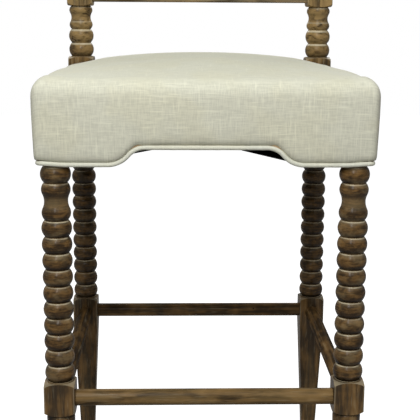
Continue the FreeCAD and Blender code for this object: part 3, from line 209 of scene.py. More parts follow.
class Nodes:
    """The nodes of a material or a world: each call adds a node and gives back its output."""

    def __init__(self, name, owners=None, surface="Principled BSDF"):
        self.owner = (bpy.data.materials if owners is None else owners).new(name)
        self.owner.use_nodes = True
        self.tree = self.owner.node_tree
        self.surface = self.tree.nodes[surface]

    def put(self, socket, value):
        if isinstance(value, bpy.types.NodeSocket):
            self.tree.links.new(value, socket)
        elif socket.type == "RGBA":
            socket.default_value = (*value[:3], 1)
        else:
            socket.default_value = value

    def add(self, kind, inputs, output=0, **options):
        made = self.tree.nodes.new(f"ShaderNode{kind}")
        for option, choice in options.items():
            setattr(made, option, choice)
        for socket, value in inputs.items():
            self.put(made.inputs[socket], value)
        return made.outputs[output]

    def finish(self, **sockets):
        for socket, value in sockets.items():
            self.put(self.surface.inputs[socket.replace("_", " ")], value)
        return self.owner

    def place(self):
        return self.add("TexCoord", {}, "Object")

    def split(self, vector):
        made = self.add("SeparateXYZ", {0: vector}).node
        return made.outputs[0], made.outputs[1], made.outputs[2]

    def join(self, x, y, z):
        return self.add("CombineXYZ", {0: x, 1: y, 2: z})

    def math(self, operation, *values):
        return self.add("Math", dict(enumerate(values)), operation=operation)

    def chain(self, operation, values):
        """A sum, product or the like of any number of values."""
        result, *others = values
        for value in others:
            result = self.math(operation, result, value)
        return result

    def plus(self, *values):
        return self.chain("ADD", values)

    def less(self, value, other):
        return self.math("SUBTRACT", value, other)

    def times(self, *values):
        return self.chain("MULTIPLY", values)

    def most(self, *values):
        return self.chain("MAXIMUM", values)

    def size(self, value):
        return self.math("ABSOLUTE", value)

    def waves(self, across, along, pitch):
        """Threads that cross: sine waves of one pitch, both ways."""
        turns = [self.times(way, math.pi / pitch) for way in (across, along)]
        return self.times(*(self.math("SINE", turn) for turn in turns))

    def normal(self):
        return self.split(self.add("NewGeometry", {}, "Normal"))

    def seen(self):
        """1 for what the camera sees, straight or in a reflection."""
        rays = ("Is Camera Ray", "Is Glossy Ray", "Is Transmission Ray")
        return self.most(*(self.add("LightPath", {}, ray) for ray in rays))

    def noise(self, vector, scale=1, detail=2, roughness=0.5, distortion=0):
        """Noise at one scale, or drawn out by a scale for each axis."""
        if not isinstance(scale, (int, float)):
            vector = self.add("VectorMath", {0: vector, 1: scale}, operation="MULTIPLY")
            scale = 1
        return self.add("TexNoise", {"Vector": vector, "Scale": scale, "Detail": detail,
                                     "Roughness": roughness, "Distortion": distortion})

    def between(self, value, low, high):
        """0 at low, 1 at high and smooth between them."""
        return self.add("MapRange", {0: value, 1: low, 2: high}, interpolation_type="SMOOTHSTEP")

    def mix(self, factor, first, second, blend="MIX"):
        return self.add("Mix", {0: factor, 6: first, 7: second}, 2, data_type="RGBA", blend_type=blend)

    def either(self, factor, first, second):
        return self.add("Mix", {0: factor, 2: first, 3: second}, data_type="FLOAT")

    def ramp(self, factor, *stops):
        output = self.add("ValToRGB", {0: factor})
        elements = output.node.color_ramp.elements
        while len(elements) < len(stops):
            elements.new(1)
        for element, (position, tone) in zip(elements, stops):
            element.position = position
            element.color = (*tone, 1)
        return output

    def bump(self, height, strength, depth):
        return self.add("Bump", {"Height": height, "Strength": strength, "Distance": depth})


def about_leg(n, place):
    """A place's height, its distances across, along and from the nearest leg's axis, and 1 at the rear."""
    x, y, z = n.split(place)
    middle = (FRONT_Y + REAR_Y) / 2
    across = n.size(n.less(n.size(x), LEG_X))
    along = n.size(n.less(n.size(n.less(y, middle)), (REAR_Y - FRONT_Y) / 2))
    radius = n.math("SQRT", n.plus(n.times(across, across), n.times(along, along)))
    return z, across, along, radius, n.math("GREATER_THAN", y, 0.0)


# Wax on the wood by the axis that it runs along.
SHINE = {"x": 0.08, "y": 0.03, "z": 0.17}
# A block's faces by one distance from the leg's axis, and its worn corners by both together.
BLOCK_FACE = (HALF_STOCK - 0.0003, HALF_STOCK - 0.0001)
WORN_CORNER = (2 * HALF_STOCK - 0.0026, 2 * HALF_STOCK - 0.0010)
# Painted light: between these heights above the seat, out of its shade, the posts grow paler from brown to
# honey, and the lime lines fill more of their grooves.
LIT_ABOVE_SEAT = (COVER_HIGH.z - 0.04, COVER_HIGH.z + 0.02)
ABOVE_SEAT_GROOVE = 0.0013
GROOVE_EDGE = 0.0010
# Where a finish of a turning starts and where it is full, by radius and by slope, and its strength. Under
# the beads it is grime with painted shade, and on upward faces of beads and block shoulders it is lime with
# painted light.
TURNED = {
    "dirt_and_shade": ((0.0228, 0.0196), (0.05, -0.55), 0.9),
    "haze_and_top_light": ((0.0214, 0.0178), (0.15, 0.85), 0.36),
    "shoulder_and_top_light": ((0.0205, 0.0216), (0.3, 0.8), 0.7),
    "neck": ((0.0206, 0.0184), (0.45, 0.15), 0.50),
}
# The part of the mottle that shows as pale streaks.
STREAKS = (0.25, 0.60)


def drawn_out(grain, across, along):
    """The scales of a noise that is drawn out along the grain."""
    return [along if axis == grain else across for axis in "xyz"]


def flat_faces(n, leg):
    """1 on the flat blocks and feet of legs and posts, 0 on their turnings."""
    z, across, along, _, rear = leg
    foot = n.math("LESS_THAN", z, n.either(rear, *STRETCHER_Z))
    return n.most(n.between(n.most(across, along), *BLOCK_FACE), foot)


def turned_finish(n, kind, radius, slope):
    radii, slopes, strength = TURNED[kind]
    return n.times(n.between(radius, *radii), n.between(slope, *slopes), strength)


def limed_turnings(n, place, leg, paint, flat, mottle):
    """Grime and painted shade under the beads, glazing on them that is weaker at the rear as painted shade,
    lime in the grooves, and painted light on upward faces and on the posts above the seat: the new paint,
    and the share of lime and painted light.
    """
    timber = settings().timber
    z, across, along, radius, rear = leg
    upward = n.normal()[2]
    patchy = n.noise(place, 42)
    # Painted shade with real grime: the undersides of the beads darken towards umber.
    paint = n.mix(turned_finish(n, "dirt_and_shade", radius, upward), paint, timber.umber)
    # Painted light: above the seat the lime lines in the grooves widen.
    above = n.between(z, *LIT_ABOVE_SEAT)
    groove = n.either(above, timber.groove, timber.groove + ABOVE_SEAT_GROOVE)
    thin = n.between(radius, groove, n.less(groove, GROOVE_EDGE))
    lines = n.times(thin, n.between(upward, 0.30, 0.60), n.between(patchy, 0.20, 0.60))
    # Painted light with lime: the upper faces of the beads and the tops of the blocks grow paler.
    haze_and_top_light = n.times(turned_finish(n, "haze_and_top_light", radius, upward), patchy)
    shoulder_and_top_light = n.times(turned_finish(n, "shoulder_and_top_light", radius, upward), patchy)
    worn = n.times(n.between(n.plus(across, along), *WORN_CORNER), patchy, 0.45)
    wash_and_top_light = n.most(lines, haze_and_top_light, shoulder_and_top_light, worn)
    neck = n.times(turned_finish(n, "neck", radius, n.size(upward)), patchy)
    bloom = n.times(n.between(n.noise(place, (30, 30, 60), 3, 0.6), 0.46, 0.70), 0.34)
    # Painted shade: the glazing is weaker on the rear legs and posts, darkening them as if in the seat's
    # shade.
    glaze_and_rear_shade = n.times(n.most(n.either(flat, bloom, 0.0), neck), n.either(rear, 1.0, 0.4))
    paint = n.mix(glaze_and_rear_shade, paint, timber.tan)
    # Painted light: the posts turn honey above the seat, paler than the legs in its shade.
    lit_above_seat = n.times(above, n.between(mottle, *STREAKS), 0.70)
    paint = n.mix(lit_above_seat, paint, timber.honey)
    return n.mix(wash_and_top_light, paint, timber.lime), wash_and_top_light


def worn_and_lit_rails(n, place, paint, mottle):
    """Rubs the front stretcher, where feet rest, with painted light that makes it paler than the rails
    behind, and leaves dust on the back rails.
    """
    timber = settings().timber
    _, y, z = n.split(place)
    streaky = n.between(mottle, *STREAKS)
    # Wear and painted light: the front stretcher grows paler towards honey.
    rubbed_and_lit = n.times(n.math("LESS_THAN", y, 0.0), streaky, 0.32)
    dusty = n.times(n.math("GREATER_THAN", z, COVER_HIGH.z), streaky, 0.22)
    return n.mix(dusty, n.mix(rubbed_and_lit, paint, timber.honey), timber.lime)


def limed_wood(name, grain):
    """Brown wood with pale lime, and painted light and shade on its turnings and front stretcher: grain is
    the axis that the piece runs along.
    """
    timber = settings().timber
    n = Nodes(name)
    place = n.place()
    turned = grain == "z"
    strokes = n.noise(place, drawn_out(grain, 170, 9), 5, 0.62)
    mottle = n.noise(place, drawn_out(grain, 85, 11), 4, 0.55, 0.5)
    contrast = 0.85
    if turned:
        leg = about_leg(n, place)
        flat = flat_faces(n, leg)
        strokes = n.either(flat, n.noise(place, (38, 38, 420), 4, 0.6, 0.4), strokes)
        mottle = n.either(flat, n.noise(place, (60, 60, 110), 4, 0.6, 0.8), mottle)
        contrast = n.either(flat, 0.74, 0.95)
    tone = n.plus(n.times(strokes, 0.34), n.times(mottle, 0.40), n.times(n.noise(place, 34), 0.26))
    tone = n.either(contrast, 0.5, tone)
    paint = n.ramp(tone, (0.37, timber.umber), (0.47, timber.walnut), (0.57, timber.ochre),
                   (0.70, timber.tan))
    pores = n.noise(place, drawn_out(grain, 408, 21.6), 3, 0.6)
    pale = n.plus(n.times(n.between(pores, 0.55, 0.72), 0.22), 0.02)
    paint = n.mix(n.times(pale, flat) if turned else pale, paint, timber.lime)
    speck = n.add("TexVoronoi", {"Vector": place, "Scale": 38.0})
    chosen = n.between(n.split(speck.node.outputs["Color"])[0], 0.60, 0.62)
    paint = n.mix(n.times(n.between(speck, 0.085, 0.045), chosen), paint, timber.umber)
    rough = n.plus(timber.gloss - 0.06, n.times(strokes, 0.2))
    if grain == "x":
        paint = worn_and_lit_rails(n, place, paint, mottle)
    if turned:
        paint, wash_and_top_light = limed_turnings(n, place, leg, paint, flat, mottle)
        # The share of lime and painted light also roughens the surface.
        rough = n.plus(rough, n.times(wash_and_top_light, 0.25))
    height = n.plus(n.times(strokes, 0.5), n.times(mottle, 0.5))
    return n.finish(Base_Color=paint, Roughness=rough, Specular_IOR_Level=0.0, Coat_Weight=SHINE[grain],
                    Coat_Roughness=timber.gloss, Normal=n.bump(height, 0.16, 0.0006))


def shade(tint, part):
    """A colour made darker or paler by a part, and never past white."""
    return [min(1, v * part) for v in tint]


def plain_wood():
    timber = settings().timber
    n = Nodes("plain_frame_wood")
    fibre = n.noise(n.place(), (60, 60, 260), 5, 0.6)
    bands = n.noise(n.place(), (5, 5, 40))
    tone = n.plus(n.times(fibre, 0.5), n.times(bands, 0.5))
    paint = n.ramp(tone, (0.35, shade(timber.plain, 0.55)), (0.6, timber.plain))
    return n.finish(Base_Color=paint, Roughness=0.75, Normal=n.bump(fibre, 0.3, 0.0005))


# Cloth

# Thickness and length of the threads that a noise draws, and its start.
FINE_THREADS = (0.0016, 0.017, 0.0)
THICK_THREADS = (0.0031, 0.036, 2.1)
NEXT_START = 5.3


def weave_ways(n):
    """Distances across the warp and the weft, over a cover's top and down its faces, and its top."""
    x, y, z = n.split(n.place())
    facing = n.normal()
    side = n.between(n.size(facing[0]), 0.66, 0.74)
    top = n.between(facing[2], 0.55, 0.95)
    return n.either(side, x, y), n.either(side, n.plus(y, z), z), top


def threads(n, warp, weft, thick, run, start):
    """Noise drawn out along threads, both ways: the warp's and the weft's."""
    made = []
    for across, along, seed in ((thick, run, start), (run, thick, start + NEXT_START)):
        place = n.join(n.math("DIVIDE", warp, across), n.math("DIVIDE", weft, along), seed)
        made.append(n.noise(place, 1, 2, 0.55))
    return made


def linen(name, body, strength):
    """Slubbed linen: body is its main colour, and strength how much its threads show."""
    cloth = settings().linen
    n = Nodes(name)
    warp, weft, top = weave_ways(n)
    shown = n.either(top, 1.0, 0.45)
    fine = threads(n, warp, weft, *FINE_THREADS)
    thick = threads(n, warp, weft, *THICK_THREADS)
    tone = n.either(n.either(top, 0.5, 0.75), *fine)
    tone = n.either(shown, 0.5, tone)
    paint = n.mix(n.between(tone, 0.36, 0.62), shade(body, 1 - 0.16 * strength), body)
    for slub in thick:
        part = n.times(n.between(slub, 0.54, 0.76), shown, cloth.slub)
        paint = n.mix(part, paint, shade(body, 1 + 0.20 * strength))
    tinted = n.mix(1.0, paint, (1.0, 0.99, 0.955), "MULTIPLY")
    paint = n.mix(n.between(n.noise(n.place(), 17), 0.40, 0.62), paint, tinted)
    height = n.plus(n.times(n.waves(warp, weft, cloth.thread), 0.3), tone, n.times(n.plus(*thick), 0.5))
    return n.finish(Base_Color=paint, Roughness=0.92, Specular_IOR_Level=0.2, Sheen_Weight=0.15,
                    Sheen_Roughness=0.45, Normal=n.bump(height, 0.25 * strength, 0.0005))


def jute(name, pitch):
    n = Nodes(name)
    pale = settings().linen.jute
    x, y, _ = n.split(n.place())
    weave = n.waves(x, y, pitch)
    fibre = n.noise(n.place(), 420, 4, 0.65)
    paint = n.mix(n.between(n.plus(fibre, n.times(weave, 0.2)), 0.3, 0.7), shade(pale, 0.5), pale)
    return n.finish(Base_Color=paint, Roughness=0.95, Specular_IOR_Level=0.1,
                    Normal=n.bump(weave, 0.6, 0.0006))


# Finishes of one fine noise

def flecked(name, noise, colours, bump, rough, rougher=None, span=None, **sockets):
    """Two colours mixed by a noise that also lifts the surface, and roughens it if rougher is given."""
    n = Nodes(name)
    fleck = n.noise(n.place(), *noise)
    part = n.between(fleck, *span) if span else fleck
    if rougher:
        rough = n.plus(rough, n.times(fleck, rougher))
    return n.finish(Base_Color=n.mix(part, *colours), Roughness=rough, Normal=n.bump(fleck, *bump),
                    **sockets)


def dust_cloth():
    black = settings().linen.black
    return flecked("black_dust_cloth", (900, 3, 0.7), (black, shade(black, 2.2)), (0.4, 0.0003), 0.9,
                   span=(0.45, 0.7), Specular_IOR_Level=0.15)


def foam_rubber():
    pale = settings().linen.foam
    return flecked("seat_filling", (700, 3, 0.7), (shade(pale, 0.8), pale), (0.5, 0.0004), 0.95,
                   Specular_IOR_Level=0.1)


def plated_steel():
    return flecked("zinc_plated_steel", (260, 4, 0.6), ((0.42, 0.42, 0.43), (0.66, 0.66, 0.65)),
                   (0.1, 0.0001), 0.25, 0.25, Metallic=1.0)


def dark_nylon():
    return flecked("dark_nylon", (600, 4, 0.7), ((0.030, 0.024, 0.020), (0.075, 0.062, 0.052)),
                   (0.15, 0.0002), 0.45, 0.25)


# Meshes

def put_in_scene(name, data):
    made = bpy.data.objects.new(name, data)
    bpy.context.scene.collection.objects.link(made)
    return made


def new_piece(name, points, faces, material, slot):
    """A piece of the chair from points and faces, riding on the chair."""
    mesh = bpy.data.meshes.new(name)
    mesh.from_pydata([tuple(p) for p in points], [], faces)
    mesh.materials.append(material)
    piece = put_in_scene(name, mesh)
    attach(piece, BODY)
    tidy_normals(piece)
    return piece


def tidy_normals(piece):
    work = bmesh.new()
    work.from_mesh(piece.data)
    bmesh.ops.recalc_face_normals(work, faces=work.faces)
    for face in work.faces:
        face.smooth = True
    work.to_mesh(piece.data)
    work.free()


def settle(piece):
    """Applies every modifier of a piece."""
    shown = piece.evaluated_get(bpy.context.evaluated_depsgraph_get())
    mesh = bpy.data.meshes.new_from_object(shown)
    piece.modifiers.clear()
    piece.data = mesh
    tidy_normals(piece)


def thicken(piece, thickness, offset):
    """Gives a sheet a thickness: inwards at an offset of -1, and half each way at 0."""
    solid = piece.modifiers.new("thickness", "SOLIDIFY")
    solid.thickness = thickness
    solid.offset = offset
    settle(piece)


def vectors_of(piece, kind):
    """The place, as co, or the normal of each of a piece's points."""
    flat = np.zeros(len(piece.data.vertices) * 3)
    piece.data.vertices.foreach_get(kind, flat)
    return flat.reshape(-1, 3)


# The corners of a square, anticlockwise.
SQUARE = ((-1, -1), (1, -1), (1, 1), (-1, 1))
ARC_POINTS = 9
# The least that an outward corner keeps of its rounding as it is drawn in.
LEAST_BEND = 0.7


class Outline:
    """A polygon of square corners (x, y, rounding), anticlockwise, whose edges can each be drawn in."""

    def __init__(self, corners, step):
        self.spots = np.array([corner[:2] for corner in corners])
        self.rounding = np.array([corner[2] for corner in corners])
        runs = np.roll(self.spots, -1, 0) - self.spots
        length = np.linalg.norm(runs, axis=1)
        self.way = runs / length[:, None]
        self.out = np.stack((self.way[:, 1], -self.way[:, 0]), 1)
        arrive = np.roll(self.way, 1, 0)
        self.convex = arrive[:, 0] * self.way[:, 1] - arrive[:, 1] * self.way[:, 0] > 0
        self.pieces = [max(2, math.ceil(run / step)) for run in length]

    def spread(self, values):
        """One value for each edge, as a value at each point; it changes evenly round a corner."""
        rows = []
        for edge, count in enumerate(self.pieces):
            rows += list(np.linspace(values[edge - 1], values[edge], ARC_POINTS))
            rows += [values[edge]] * (count - 1)
        return np.array(rows)

    def drawn_in(self, insets):
        """Points of the outline when each edge has moved in by its own inset."""
        insets = np.array(insets)
        before = np.roll(insets, 1)
        spots = self.spots - self.out * insets[:, None] - np.roll(self.out, 1, 0) * before[:, None]
        nearer = np.minimum(insets, before)
        tight = np.maximum(self.rounding - nearer, self.rounding * LEAST_BEND)
        bends = np.where(self.convex, tight, self.rounding + nearer)
        points = []
        for edge, count in enumerate(self.pieces):
            here, bend = spots[edge], bends[edge]
            arrive, leave = self.way[edge - 1], self.way[edge]
            centre = here + (leave - arrive) * bend
            for turn in np.linspace(0, math.pi / 2, ARC_POINTS):
                points.append(centre + bend * (math.sin(turn) * arrive - math.cos(turn) * leave))
            start = here + leave * bend
            end = spots[(edge + 1) % len(spots)] - leave * bends[(edge + 1) % len(spots)]
            points += [start + (end - start) * place / count for place in range(1, count)]
        return np.array(points)


# A wall at least this tall has the whole of the tuck: heights above its seam, and the share of the roll
# by which the wall is drawn in there.
TALL_WALL = 0.030
TUCK = ((-0.0012, 2.0), (-0.0006, 1.4), (0.0006, 0.95), (0.0022, 0.62), (0.0050, 0.34), (0.0090, 0.14),
        (0.0150, 0.03))
WALL_PARTS = (0.2, 0.4, 0.6, 0.8, 1.0)
WALL_EASE = 1.5
# The edge bends over in steps to this lean, where the dome takes over, and the share of the bend there.
LEAN_STEP = 10
RIM_LEAN = 76
RIM = 1 - math.cos(math.radians(RIM_LEAN))
RIM_EASE = 6
TOP_RINGS = 24
DOME_ACROSS = 2.1
DOME_ALONG = 2.4


def domed(flat, half_x, half_y):
    """1 over the middle of a pad, falling to 0 at half its width and half its depth."""
    over = np.clip(np.abs(flat[:, 0]) / half_x, 0, 1) ** DOME_ACROSS
    along = np.clip(np.abs(flat[:, 1]) / half_y, 0, 1) ** DOME_ALONG
    return (1 - over) * (1 - along)


def pad_form(outline, seam, edge, bends, rolls, draws, dome, inward=None, warp=None):
    """Points and faces of a closed pad that stands on its seam; the last point is under its middle.

    Each edge of the outline has its own rounding, roll and draw: the wall rolls in at the seam, leans
    in by the draw, bends over the edge and rises to a dome. seam has a height for each point. inward,
    where it is given, is a further step in at the seam, and warp a further rise of the top.
    """
    bends, rolls, draws = np.array(bends), np.array(rolls), np.array(draws)
    bend = outline.spread(bends)

    def rise(flat, part):
        return dome(flat) if warp is None else dome(flat) + warp(flat) * part

    rings = []
    unit = np.minimum(1, (edge - bend - seam) / TALL_WALL)
    for height, part in TUCK:
        flat = outline.drawn_in(rolls * part + draws)
        if inward is not None:
            flat = flat + inward * part
        rings.append((flat, seam + height * unit))
    low = rings[-1][1]
    for part in WALL_PARTS:
        flat = outline.drawn_in(draws * (1 - part) ** WALL_EASE)
        rings.append((flat, low + (edge - bend - low) * part))
    for lean in np.radians((*range(LEAN_STEP, RIM_LEAN, LEAN_STEP), RIM_LEAN)):
        flat = outline.drawn_in(bends * (1 - math.cos(lean)))
        rings.append((flat, edge + bend * (math.sin(lean) - 1) + rise(flat, math.sin(lean))))
    rim = rings[-1][0]
    fall = bend * (math.sin(math.radians(RIM_LEAN)) - 1)
    for part in np.linspace(0, 1, TOP_RINGS + 2)[1:-1]:
        flat = rim * (1 - part)
        rings.append((flat, edge + fall * (1 - part) ** RIM_EASE + rise(flat, 1)))
    count = len(rim)
    points = [(*flat[i], height[i]) for flat, height in rings for i in range(count)]
    top = len(points)
    points += [(0, 0, edge + float(dome(np.zeros((1, 2)))[0])), (0, 0, float(seam.min()))]
    faces = []
    for i in range(count):
        j = (i + 1) % count
        for ring in range(0, top - count, count):
            faces.append((ring + i, ring + j, ring + count + j, ring + count + i))
        faces.append((top - count + i, top - count + j, top))
        faces.append((j, i, top + 1))
    return points, faces


CLOTH_FRAMES = 20
CLOTH_STIFFNESS = 30
# How many points of the blown-up copy each point of a cover follows.
NEIGHBOURS = 12


def fill_out(piece, held, shape):
    """Swells a cover over its filling.

    An evenly meshed copy of the cover is blown up as cloth, held where it is tacked down. Each point
    of the cover then moves out as the copy did beside it, and no further than the shape's swell.
    """
    scene = bpy.context.scene
    copy = put_in_scene("swelling_copy", piece.data.copy())
    even = copy.modifiers.new("even_mesh", "REMESH")
    even.mode = "VOXEL"
    even.voxel_size = shape.voxel
    settle(copy)
    before = vectors_of(copy, "co")
    outward = vectors_of(copy, "normal")
    group = copy.vertex_groups.new(name="tacked")
    for index, grip in enumerate(held(before)):
        group.add([index], float(grip), "REPLACE")
    cloth = copy.modifiers.new("cover", "CLOTH")
    cloth.settings.use_pressure = True
    cloth.settings.uniform_pressure_force = shape.pressure
    cloth.settings.tension_stiffness = CLOTH_STIFFNESS
    cloth.settings.compression_stiffness = CLOTH_STIFFNESS
    cloth.settings.effector_weights.gravity = 0
    cloth.settings.vertex_group_mass = "tacked"
    cloth.point_cache.frame_start = 1
    cloth.point_cache.frame_end = CLOTH_FRAMES
    for moment in range(1, CLOTH_FRAMES + 1):
        scene.frame_set(moment)
    settle(copy)
    scene.frame_set(1)
    moved = np.clip(((vectors_of(copy, "co") - before) * outward).sum(axis=1), 0, None)
    tree = KDTree(len(before))
    for index, point in enumerate(before):
        tree.insert(point, index)
    tree.balance()
    start = vectors_of(piece, "co")
    push = np.zeros(len(start))
    for index, point in enumerate(start):
        near = tree.find_n(point, NEIGHBOURS)
        weights = [1 / (away + shape.voxel / 2) for _, _, away in near]
        push[index] = np.average([moved[i] for _, i, _ in near], weights=weights)
    swell = shape.swell * np.tanh(push / shape.give)
    filled = start + vectors_of(piece, "normal") * swell[:, None]
    piece.data.vertices.foreach_set("co", filled.ravel())
    piece.data.update()
    bpy.data.objects.remove(copy)


def tacked(height, full, fade):
    """1 up to a full height above a seam, and 0 from a fade above that."""
    return np.clip(1 - (height - full) / fade, 0, 1)


def skin(piece, thickness):
    """Takes the closed underside off a cover and gives what is left a thickness inwards."""
    work = bmesh.new()
    work.from_mesh(piece.data)
    work.verts.ensure_lookup_table()
    bmesh.ops.delete(work, geom=[work.verts[-1]], context="VERTS")
    work.to_mesh(piece.data)
    work.free()
    thicken(piece, thickness, offset=-1)


PIPING_SIDES = 16
# Any way that no piping runs along: the first ring of a piping is drawn from it.
ASLANT = (0.3, 0.5, 1.0)


def lumps(travelled):
    """How thick hand-sewn piping is at distances along it: 1 where it is even."""
    return 1 + 0.025 * np.sin(travelled * 310) * np.sin(travelled * 97 + 1) + 0.02 * np.sin(travelled * 41)


def tube(name, path, radius, closed, material, slot):
    """Piping along a path of points, a little uneven as hand-sewn piping is."""
    path = np.array(path)
    count = len(path)
    if closed:
        tangent = np.roll(path, -1, 0) - np.roll(path, 1, 0)
    else:
        tangent = np.gradient(path, axis=0)
    tangent /= np.linalg.norm(tangent, axis=1, keepdims=True)
    travelled = np.concatenate(([0], np.cumsum(np.linalg.norm(np.diff(path, axis=0), axis=1))))
    thick = radius * lumps(travelled)
    side = np.cross(tangent, ASLANT)
    side[0] /= np.linalg.norm(side[0])
    for i in range(1, count):
        side[i] = side[i - 1] - tangent[i] * np.dot(side[i - 1], tangent[i])
        side[i] /= np.linalg.norm(side[i])
    other = np.cross(tangent, side)
    points = []
    for i in range(count):
        for turn in np.linspace(0, 2 * math.pi, PIPING_SIDES, endpoint=False):
            points.append(path[i] + thick[i] * (math.cos(turn) * side[i] + math.sin(turn) * other[i]))
    faces = []
    for i in range(count if closed else count - 1):
        here = i * PIPING_SIDES
        there = (i + 1) % count * PIPING_SIDES
        for a in range(PIPING_SIDES):
            b = (a + 1) % PIPING_SIDES
            faces.append((here + a, here + b, there + b, there + a))
    if not closed:
        faces.append(tuple(range(PIPING_SIDES)))
        faces.append(tuple(range(len(points) - PIPING_SIDES, len(points))))
    return new_piece(name, points, faces, material, slot)


def cloth_grid(name, xs, ys, height, keep, thickness, material, slot):
    """A sheet over a grid of places, where keep says so, with a height at each place."""
    points = [(x, y, height(x, y)) for x in xs for y in ys]
    faces = []
    for i in range(len(xs) - 1):
        for j in range(len(ys) - 1):
            if keep((xs[i] + xs[i + 1]) / 2, (ys[j] + ys[j + 1]) / 2):
                here = i * len(ys) + j
                there = here + len(ys)
                faces.append((here, there, there + 1, here + 1))
    used = sorted({v for face in faces for v in face})
    order = {v: k for k, v in enumerate(used)}
    faces = [tuple(order[v] for v in face) for face in faces]
    piece = new_piece(name, [points[v] for v in used], faces, material, slot)
    thicken(piece, thickness, offset=0)
    return piece


def graded(low, high, step, *stops):
    """Even places from low to high that also fall on each stop."""
    marks = sorted({low, high, *stops})
    places = []
    for start, end in zip(marks, marks[1:]):
        count = max(1, round((end - start) / step))
        places += [start + (end - start) * k / count for k in range(count)]
    return places + [high]


# Shapes of the upholstery

def scallop_height(x):
    """Height of the scalloped front edge above the ends of that edge."""
    seat = settings().seat
    flat = seat.scallop_flat / 2
    bend = (seat.scallop_run ** 2 + seat.scallop_rise ** 2) / (4 * seat.scallop_rise)
    away = np.clip(np.abs(x) - flat, 0, seat.scallop_run)
    left = seat.scallop_run - away
    upper = seat.scallop_rise - bend + np.sqrt(np.maximum(bend ** 2 - away ** 2, 0))
    lower = bend - np.sqrt(np.maximum(bend ** 2 - left ** 2, 0))
    return np.where(away < seat.scallop_run / 2, upper, lower)


def smooth(values, low, high):
    """0 at low, 1 at high and smooth between them."""
    part = np.clip((values - low) / (high - low), 0, 1)
    return part * part * (3 - 2 * part)


PUCKER_WIDTH = 0.0055
# How much more than the piping the cover's lower edge rises at the corners.
SEAM_RISE = 1.5
# Shares of the way out and forward, or out and back, between which the seat's corners rise or fall.
PIPING_RISES = ((0.80, 0.98), (0.60, 0.95))
EAR_RISES = ((0.80, 0.95), (0.72, 0.92))
POST_DIPS = ((0.62, 0.99), (-0.50, 0.78))
# The front of an outline reaches this far back.
FRONT_DEPTH = 0.001
POST_GAP = 0.0005
COVER_STEP = 0.005
PIPING_RADIUS = 0.0034
PIPING_OUT = 0.001
SIDE_POINTS = 60
SCALLOP_POINTS = 140
REAR_POINTS = 90


def corner_rise(x, y):
    """Rise of the piping towards the front corners."""
    outward = smooth(np.abs(x) / COVER_HIGH.x, *PIPING_RISES[0])
    forward = smooth(y / COVER_LOW.y, *PIPING_RISES[1])
    return settings().seat.corner_rise * outward * forward


def seat_seam(x, y):
    """Height of the cover's lower edge, which lifts off the piping at the scallop's turns and corners."""
    seat = settings().seat
    front = y < COVER_LOW.y + seat.corner
    turn = seat.scallop_flat / 2 + seat.scallop_run / 4
    pucker = seat.pucker * np.exp(-((np.abs(x) - turn) / PUCKER_WIDTH) ** 2)
    return COVER_LOW.z + np.where(front, scallop_height(x) + pucker, 0.0) + SEAM_RISE * corner_rise(x, y)


def seat_form(inset, lower, low=None):
    """The seat's form, drawn in by an inset, its crown lower, and flat underneath if low is given."""
    seat = settings().seat
    wide = COVER_HIGH.x - inset
    front = COVER_LOW.y + inset
    rear = COVER_HIGH.y - inset
    notch_x = POST_LOW.x - POST_GAP - inset
    notch_y = POST_LOW.y - POST_GAP - inset
    small = seat.corner / 3
    outline = Outline([
        (-wide, front, seat.corner), (wide, front, seat.corner), (wide, notch_y, small),
        (notch_x, notch_y, small), (notch_x, rear, small),
        (-notch_x, rear, small), (-notch_x, notch_y, small), (-wide, notch_y, small),
    ], COVER_STEP)
    # Rounding, roll and draw of each kind of edge, and the kinds in order.
    kinds = {
        "front": (seat.edge - inset, seat.roll, seat.draw),
        "side": (seat.edge - inset, seat.side_roll, seat.side_draw),
        "post_front": (seat.post_front, 0.0, 0.0),
        "post_side": (seat.post_edge, 0.0, 0.0),
    }
    order = ("front", "side", "post_front", "post_side", "front", "post_side", "post_front", "side")
    bends, rolls, draws = zip(*(kinds[kind] for kind in order))
    edge = COVER_HIGH.z - seat.crown - inset
    flat = outline.drawn_in(np.zeros(len(order)))
    if low is None:
        seam = seat_seam(flat[:, 0], flat[:, 1])
        deeper = (seat.scallop_roll - seat.roll) * scallop_height(flat[:, 0]) / seat.scallop_rise
        deeper = np.where(flat[:, 1] < front + FRONT_DEPTH, deeper, 0)
        inward = np.stack((np.zeros(len(flat)), deeper), 1)
    else:
        seam = np.full(len(flat), low)
        inward = None

    def dome(flat):
        rim = RIM * seat.edge
        return (seat.crown - lower) * domed(flat, COVER_HIGH.x - rim, COVER_HIGH.y - rim)

    def warp(flat):
        out = np.abs(flat[:, 0]) / COVER_HIGH.x
        back = flat[:, 1] / COVER_HIGH.y
        ear = smooth(out, *EAR_RISES[0]) * smooth(-back, *EAR_RISES[1])
        dip = smooth(out, *POST_DIPS[0]) * smooth(back, *POST_DIPS[1])
        return seat.ear * ear - seat.dip * dip

    return pad_form(outline, seam, edge, bends, rolls, draws, dome, inward, warp)


def back_outline(half, tall, corner, step):
    return Outline([(half * x, tall * y, corner) for x, y in SQUARE], step)


def back_form(half, tall, low, edge, crown, bend, corner, roll, draw):
    """A pad in its own frame, its outline across X and Y and its thickness up Z."""
    outline = back_outline(half, tall, corner, COVER_STEP)
    seam = np.full(len(outline.spread([0] * 4)), low)

    def dome(flat):
        return crown * domed(flat, half - RIM * bend, tall - RIM * bend)

    return pad_form(outline, seam, edge, [bend] * 4, [roll] * 4, [draw] * 4, dome)


